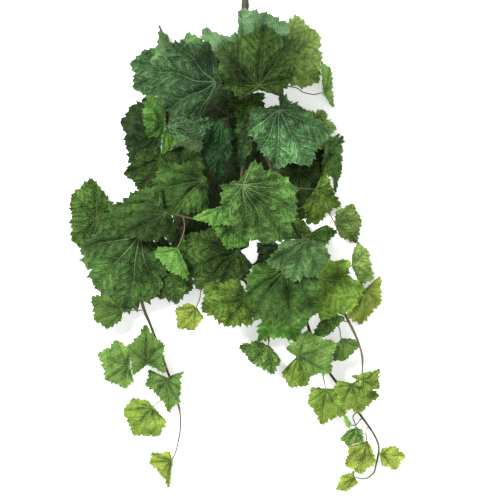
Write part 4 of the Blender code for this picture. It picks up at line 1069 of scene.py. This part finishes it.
@dataclass
class Blade:
    """The cloth of one leaf: its toothed rim, and its surface with sunken veins and pillows between them."""

    plan: LeafPlan
    hub_height: float
    seed: int
    thickness: float = 0.00045
    branch_gap_share: float = 0.14
    branch_gap_least: float = 0.002
    tooth_pitch_share: float = 0.120
    tooth_pitch_least: float = 0.0026
    tooth_height_share: float = 0.076
    tooth_height_least: float = 0.0012
    scallop_share: float = 0.42
    scallop_depth: float = 0.085
    row_pitch: float = 0.0027
    groove_share: float = 0.055
    pillow_share: float = 0.040
    swell_share: float = 0.150
    crumple_share: float = 0.105
    curl_share: float = 0.210
    bend_share: float = 0.095

    def __post_init__(self) -> None:
        """Work out the lobes as steps from the hub."""
        self.draws = random.Random(self.seed)
        self.hub = place(*self.plan.hub)
        self.lobes = [place(*tip) - self.hub for tip in self.plan.tips]
        self.reach = float(np.mean([np.hypot(*lobe) for lobe in self.lobes]))
        self.pitch = self.branch_gap_share * self.reach + self.branch_gap_least

    def corners(self) -> list[np.ndarray]:
        """The lobes' ends and the notch at the stalk, in order round the blade."""
        middle = np.mean([lobe / np.hypot(*lobe) for lobe in self.lobes], axis=0)
        return [*self.lobes, -middle / max(np.hypot(*middle), LEAST_LEAN) * STALK_NOTCH * self.reach]

    def rim(self) -> np.ndarray:
        """Points round the toothed rim, as steps from the hub.

        Returns:
            The steps, in order, the first of them at a lobe's end.
        """
        steps = self.corners()
        pitch = self.tooth_pitch_share * self.reach + self.tooth_pitch_least
        height = self.tooth_height_share * self.reach + self.tooth_height_least
        rim = []
        for index, start in enumerate(steps):
            end = steps[(index + 1) % len(steps)]
            chord = end - start
            length = float(np.hypot(*chord))
            at_stalk = index >= len(steps) - 2
            depth = 0.0 if at_stalk else self.plan.notch * min(1.0, length / self.reach)
            outward = np.array([chord[1], -chord[0]]) / length
            if np.dot(outward, start + end) < 0:
                outward = -outward
            teeth = max(2, round(length / pitch))
            scallops = max(1, round(length / (self.scallop_share * self.reach)))
            calm = STALK_SCALLOP_SHARE if at_stalk else 1.0
            scallop = calm * self.scallop_depth * min(self.reach, length)
            lean = self.draws.uniform(*SCALLOP_LEAN)
            for tooth in range(teeth):
                tall = height * self.draws.choice(TOOTH_HEIGHTS) * (STALK_TOOTH_SHARE if at_stalk else 1.0)
                shift = self.draws.uniform(-TOOTH_SHIFT, TOOTH_SHIFT)
                first_half = tooth + 0.5 < teeth / 2
                for part, rise in TOOTH_TOWARDS_START if first_half else TOOTH_TOWARDS_END:
                    at_tip = tooth == 0 and part == 0.0
                    share = (tooth + part + (0.0 if at_tip else shift)) / teeth
                    wave = abs(math.sin(math.pi * scallops * max(share, 0.0) ** lean)) ** SCALLOP_ROUNDNESS
                    out = 0.0 if at_tip else rise * tall + (wave - SCALLOP_MIDDLE) * scallop
                    bay = 1 - depth * math.sin(math.pi * share)
                    rim.append((start + chord * share) * bay + outward * out)
        return np.array(rim)

    def vein_places(self, steps: np.ndarray, shares: np.ndarray) -> np.ndarray:
        """Where each point lies beside its nearest main vein.

        Args:
            steps: Steps from the hub.
            shares: Share of the way from hub to rim.

        Returns:
            How far along the vein and how far from it each point is, in gaps between branches, and its share.
        """
        units = np.array([lobe / np.hypot(*lobe) for lobe in self.lobes])
        along = steps @ units.T
        across = np.abs(steps[:, :1] * units[:, 1] - steps[:, 1:] * units[:, 0])
        behind_hub = np.hypot(*steps.T)[:, None] + HAIR
        across = np.where(along >= 0, across, behind_hub)
        nearest = across.argmin(axis=1)
        rows = np.arange(len(steps))
        beside = (along[rows, nearest] / self.pitch, across[rows, nearest] / self.pitch, shares)
        return np.stack(beside, axis=1)

    def heights(self, steps: np.ndarray) -> np.ndarray:
        """Heights above the hub of the plain surface, bent as the leaf's plan says.

        Args:
            steps: Steps from the hub.

        Returns:
            The heights.
        """
        apex = self.lobes[(len(self.lobes) + 1) // 2]
        across = np.abs(steps[:, 0] * apex[1] - steps[:, 1] * apex[0]) / np.hypot(*apex)
        rise = self.plan.slope[0] * steps[:, 0] + self.plan.slope[1] * steps[:, 1]
        distance = np.hypot(*steps.T)
        return rise - self.plan.cup * distance**2 / self.reach - self.plan.fold * across

    def relief(self, steps: np.ndarray, places: np.ndarray) -> np.ndarray:
        """Sunken veins, pillows between the branches, and the slow swell of limp cloth.

        Args:
            steps: Steps from the hub.
            places: Where each point lies beside its vein.

        Returns:
            The height that each point gains.
        """
        along, across, share = places.T
        spread = np.minimum(1.0, np.hypot(*steps.T) / (CALM_AT_HUB * self.reach))
        groove = -self.groove_share * np.exp(-((across / GROOVE_WIDTH) ** 2)) * (1 - GROOVE_FADE * share)
        ridge = np.abs(np.sin(math.pi * (along - PATTERN.branch_slant * across))) ** PILLOW_ROUNDNESS
        pillow = ridge * np.minimum(1.0, across / PILLOW_RISE) - PILLOW_MIDDLE
        crumple, limp = self.swells(steps, Swell.CRUMPLE), self.swells(steps, Swell.LIMP)
        curl = self.swells(steps, Swell.CURL) - CURL_BACK
        height = spread * (groove + self.pillow_share * pillow + self.crumple_share * crumple)
        height += self.swell_share * share * limp + self.curl_share * share**CURL_POWER * curl
        return self.reach * height

    def swells(self, steps: np.ndarray, kind: Swell) -> np.ndarray:
        """Slow waves of a kind over the blade, between -1 and 1 at each step from the hub."""
        length, apart = kind.value[0] * self.reach, self.seed * SEED_STEP + kind.value[1]
        return np.array([noise.noise(Vector((x / length, y / length, apart))) for x, y in steps])

    def sheet(self) -> bmesh.types.BMesh:
        """Spread the cloth and give it its thickness.

        Returns:
            The closed blade. Its faces that look up have material 0 and those that look down material 1,
            or the other way round on a leaf that faces back.
        """
        rim = self.rim()
        rows = int(np.clip(round(self.reach / self.row_pitch), LEAST_ROWS, MOST_ROWS))
        sheet, column, row = sheet_of(len(rim), rows)
        shares = row / rows
        steps = rim[column % len(rim)] * shares[:, None]
        places = self.vein_places(steps, shares)
        bend = np.column_stack([self.swells(steps, kind) for kind in (Swell.ASIDE, Swell.ALONG)])
        steps += (self.bend_share * self.reach * shares * (1 - shares) * BEND_PEAK)[:, None] * bend
        heights = self.hub_height + self.heights(steps) + self.relief(steps, places)
        settle(sheet, np.column_stack([steps + self.hub, below_crest(above_floor(heights))]))
        note(sheet, sheet.verts.layers.float_vector.new(VEIN_PLACE), places)
        note(sheet, sheet.verts.layers.float.new(DYE), self.shades(steps))
        bmesh.ops.remove_doubles(sheet, verts=sheet.verts, dist=BLADE_WELD)
        sheet.normal_update()
        if sum(face.normal.z * face.calc_area() for face in sheet.faces) < 0:
            bmesh.ops.reverse_faces(sheet, faces=sheet.faces)
        sheet.normal_update()
        self.thicken(sheet)
        self.map_flat(sheet)
        for face in sheet.faces:
            face.smooth = True
            face.material_index = int((face.normal.z < 0) != self.plan.faces_back)
        soften(sheet)
        return sheet

    def shades(self, steps: np.ndarray) -> np.ndarray:
        """Dye at each step with painted light and shade: the leaf's value, its patches and its lit and dark
        places.

        Args:
            steps: Steps from the hub.

        Returns:
            The strengths, 1 as a rule.
        """
        shades = self.plan.dye_and_shading * (1 + DYE_CLOUDING * self.swells(steps, Swell.DYE))
        # The plan's paler and darker places: painted light and shade, partly the leaf's own colour
        for shading in self.plan.painted_shading:
            distance = np.hypot(*(steps + self.hub - place(*shading.spot)).T) / (shading.reach * PIXEL)
            shades *= 1 + shading.strength * np.exp(-(distance**2))
        return shades

    def thicken(self, sheet: bmesh.types.BMesh) -> None:
        """Give the open cloth a back of its own, a thickness beneath its face.

        Args:
            sheet: The cloth.
        """
        normals = {vertex: vertex.normal.copy() for vertex in sheet.verts}
        cloth = sheet.faces[:] + sheet.edges[:] + sheet.verts[:]
        bmesh.ops.extrude_face_region(sheet, geom=cloth, use_keep_orig=True)
        for vertex, normal in normals.items():
            vertex.co -= normal * self.thickness
            vertex.co.z = max(vertex.co.z, FLOOR_CLEARANCE)
        sheet.normal_update()

    def map_flat(self, sheet: bmesh.types.BMesh) -> None:
        """Lay the leaf's own flat map on it, in metres from a corner of its own.

        Args:
            sheet: The cloth.
        """
        layer = sheet.loops.layers.uv.new(FLAT_MAP)
        corner = MAP_STEPS * self.seed % MAP_SPAN
        for face in sheet.faces:
            for loop in face.loops:
                loop[layer].uv = np.array(loop.vert.co[:2]) - self.hub + corner


@dataclass
class Leaf:
    """A blade and its stalk, as one piece in the place of its node."""

    plan: LeafPlan
    solid: FrameSolid
    seed: int
    axes: dict[str, list[np.ndarray]]
    large_radius: float = 0.00115
    small_radius: float = 0.00075
    end_swell: float = 1.25
    columns: int = 8

    def stalk_line(self, hub: np.ndarray, end: np.ndarray) -> list[np.ndarray]:
        """The stalk's axis: from inside the blade, straight away from it, then over the points it passes.

        Args:
            hub: The face of the blade at its hub.
            end: Where the stalk ends.

        Returns:
            Points along the axis.
        """
        away = np.array((*self.plan.slope, -1.0))
        away = away / np.linalg.norm(away) * (-1 if self.plan.faces_back else 1)
        heights = np.linspace(hub[2], end[2], len(self.plan.via) + 2)[1:]
        ends = [np.array((*place(*via), height)) for via, height in zip(self.plan.via, heights)] + [end]
        turned = (ends[0] - hub) / np.linalg.norm(ends[0] - hub)
        inside = hub - (0, 0, SOLID_THICKNESS / 2)
        below = hub + away * HUB_DEPTH * STRAIGHT_SHARE
        bend = hub + away * HUB_DEPTH * BEND_DEPTH_SHARE + turned * HUB_DEPTH * BEND_REACH_SHARE
        return smooth_line([inside, below, bend, *ends], STALK_STEPS)

    def end_of_stalk(self, blade: Blade, hub: np.ndarray) -> np.ndarray:
        """Where the stalk meets its shoot.

        Args:
            blade: The leaf's blade.
            hub: The face of the blade at its hub.

        Returns:
            The end of its axis.
        """
        if not self.plan.grown_on:
            steps = blade.corners()
            middles = [(a + b) / 2 for a, b in zip(steps, steps[1:] + steps[:1])]
            outer = np.array([*steps, *middles])
            return self.solid.stalk_end(np.concatenate([outer, np.zeros((1, 2)), outer / 2]) + blade.hub)
        start = np.array((*place(*self.plan.via[-1]), hub[2])) if self.plan.via else hub
        return min(self.axes[self.plan.grown_on],
                   key=lambda at: np.hypot(*(at - start)[:2]) + HEIGHT_WEIGHT * abs(at[2] - hub[2]))

    def build(self) -> bpy.types.Object:
        """Make the leaf's piece.

        Returns:
            The piece, in its place.
        """
        blade = Blade(self.plan, self.solid.hub_height(self.plan), self.seed)
        hub = np.array((*blade.hub, blade.hub_height))
        line = self.stalk_line(hub, self.end_of_stalk(blade, hub))
        large = max(np.hypot(*lobe) for lobe in blade.lobes) > LARGE_LEAF
        radius = self.large_radius if large else self.small_radius
        stalk = Tube(line, np.linspace(radius, radius * self.end_swell, len(line)), self.columns).sheet()
        for face in stalk.faces:
            face.smooth = True
            face.material_index = 2
        mesh = mesh_of(self.plan.name + "_cloth", stalk)
        cloth = blade.sheet()
        cloth.from_mesh(mesh)
        cloth.to_mesh(mesh)
        cloth.free()
        tone = self.plan.tone.value
        for material in (tone.dressed(False), tone.dressed(True), STALK_BARKS[tone.slot].dressed()):
            mesh.materials.append(material)
        return put_in_place(mesh, self.plan.grown_on or self.plan.name)


@dataclass
class Shoot:
    """A woody shoot with swollen nodes, in the place of its node."""

    plan: ShootPlan
    solid: FrameSolid
    columns: int = 20
    fine_steps: int = 6
    swelling: float = 0.14
    cut_reach: float = 0.75

    def __post_init__(self) -> None:
        """Take the radius at both ends in metres."""
        self.first, self.last = (radius / 1000 for radius in self.plan.radius_mm)

    def axis(self) -> list[np.ndarray]:
        """The shoot's axis in the frame.

        Returns:
            Its points, as close together as the frame's solid has them.
        """
        line = smooth_line([place(*point) for point in self.plan.points], AXIS_STEPS)
        radii = np.linspace(self.first, self.last, len(line))
        return [self.solid.axis_point(*point, radius) for point, radius in zip(line, radii)]

    def build(self) -> bpy.types.Object:
        """Make the shoot's piece.

        Returns:
            The piece, in its place.
        """
        line = smooth_line(self.axis(), self.fine_steps)
        radii = np.linspace(self.first, self.last, len(line))
        sheet = Tube(line, radii, self.columns, self.swelling, flat_start=self.plan.cut_end).sheet()
        start = Vector(line[0])
        for face in sheet.faces:
            near_start = (face.calc_center_median() - start).length < self.first * self.cut_reach
            on_cut = self.plan.cut_end and near_start
            face.smooth = not on_cut
            face.material_index = int(on_cut)
        soften(sheet)
        mesh = mesh_of(self.plan.name + "_bark", sheet)
        mesh.materials.append((STEM_BARK if self.plan.cut_end else BARK).dressed())
        if self.plan.cut_end:
            mesh.materials.append(CutWoodFinish().dressed(start))
        return put_in_place(mesh, self.plan.name)


# The lights: name, where it hangs, length of its side and watts
LAMPS = (("key", (-1.3, 1.1, 2.3), 0.9, 160.0), ("fill", (1.8, -1.2, 2.4), 2.4, 24.0))


@dataclass
class Studio:
    """A pale floor, soft light from above and a camera straight over the bush."""

    floor_size: float = 14.0
    floor_colour: Linear = (0.93, 0.93, 0.93, 1.0)
    floor_glow: float = 0.4
    floor_roughness: float = 0.9
    floor_gloss: float = 0.1
    sky_colour: Linear = (1.0, 1.0, 1.0, 1.0)
    sky_strength: float = 0.75
    lens: float = 200.0
    sensor: float = 36.0
    far_end: float = 50.0
    middle_height: float = 0.055

    def floor(self) -> None:
        """Lay the floor that the bush rests on, which glows a little so that shadows on it stay soft."""
        sheet = bmesh.new()
        bmesh.ops.create_grid(sheet, x_segments=1, y_segments=1, size=self.floor_size / 2)
        mesh = mesh_of("floor", sheet)
        made = Weave(bpy.data.materials.new("floor"))
        made.feed(made.surface, {"Base Color": self.floor_colour, "Emission Color": self.floor_colour,
                                 "Emission Strength": self.floor_glow, "Roughness": self.floor_roughness,
                                 "Specular IOR Level": self.floor_gloss})
        mesh.materials.append(made.material)
        in_scene("floor", mesh)

    def light(self, name: str, spot: tuple[float, float, float], size: float, power: float) -> None:
        """Hang a soft square light that faces the bush.

        Args:
            name: The light's name.
            spot: Where it hangs.
            size: Length of its side.
            power: Its power in watts.
        """
        lamp = bpy.data.lights.new(name, "AREA")
        lamp.size = size
        lamp.energy = power
        hung = in_scene(name, lamp)
        hung.location = spot
        hung.rotation_mode = "QUATERNION"
        hung.rotation_quaternion = (-Vector(spot)).to_track_quat("-Z", "Y")

    def sky(self) -> None:
        """Light the room evenly from all sides."""
        world = bpy.data.worlds.new("room")
        world.use_nodes = True
        room = world.node_tree.nodes["Background"]
        room.inputs["Color"].default_value = self.sky_colour
        room.inputs["Strength"].default_value = self.sky_strength
        bpy.context.scene.world = world

    def camera(self) -> None:
        """Set the camera straight above the middle of the photograph, with the cut stem at the top."""
        lens = bpy.data.cameras.new("camera")
        lens.lens = self.lens
        lens.sensor_width = self.sensor
        lens.clip_end = self.far_end
        camera = in_scene("camera", lens)
        camera.location = (*place(*VIEW_CENTRE), self.middle_height + BUSH_LENGTH * self.lens / self.sensor)
        bpy.context.scene.camera = camera

    def build(self) -> None:
        """Set up the whole studio."""
        self.floor()
        for lamp in LAMPS:
            self.light(*lamp)
        self.sky()
        self.camera()
        bpy.context.scene.view_settings.view_transform = "Standard"


def main() -> None:
    """Load the frame, then build the studio, the shoots and the leaves."""
    logging.basicConfig(level=logging.INFO, format="%(name)s: %(message)s")
    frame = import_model()
    Studio().build()
    solids = {name: FrameSolid(node) for name, node in frame["nodes"].items()}
    shoots = [Shoot(plan, solids[plan.name]) for plan in SHOOTS]
    axes = {shoot.plan.name: shoot.axis() for shoot in shoots}
    leaves = [Leaf(plan, solids[plan.grown_on or plan.name], seed, axes) for seed, plan in enumerate(LEAVES)]
    for part in (*shoots, *leaves):
        piece = part.build()
        LOG.info("%s has %d faces", piece.name, len(piece.data.polygons))
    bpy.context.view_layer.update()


if __name__ == "__main__":
    main()
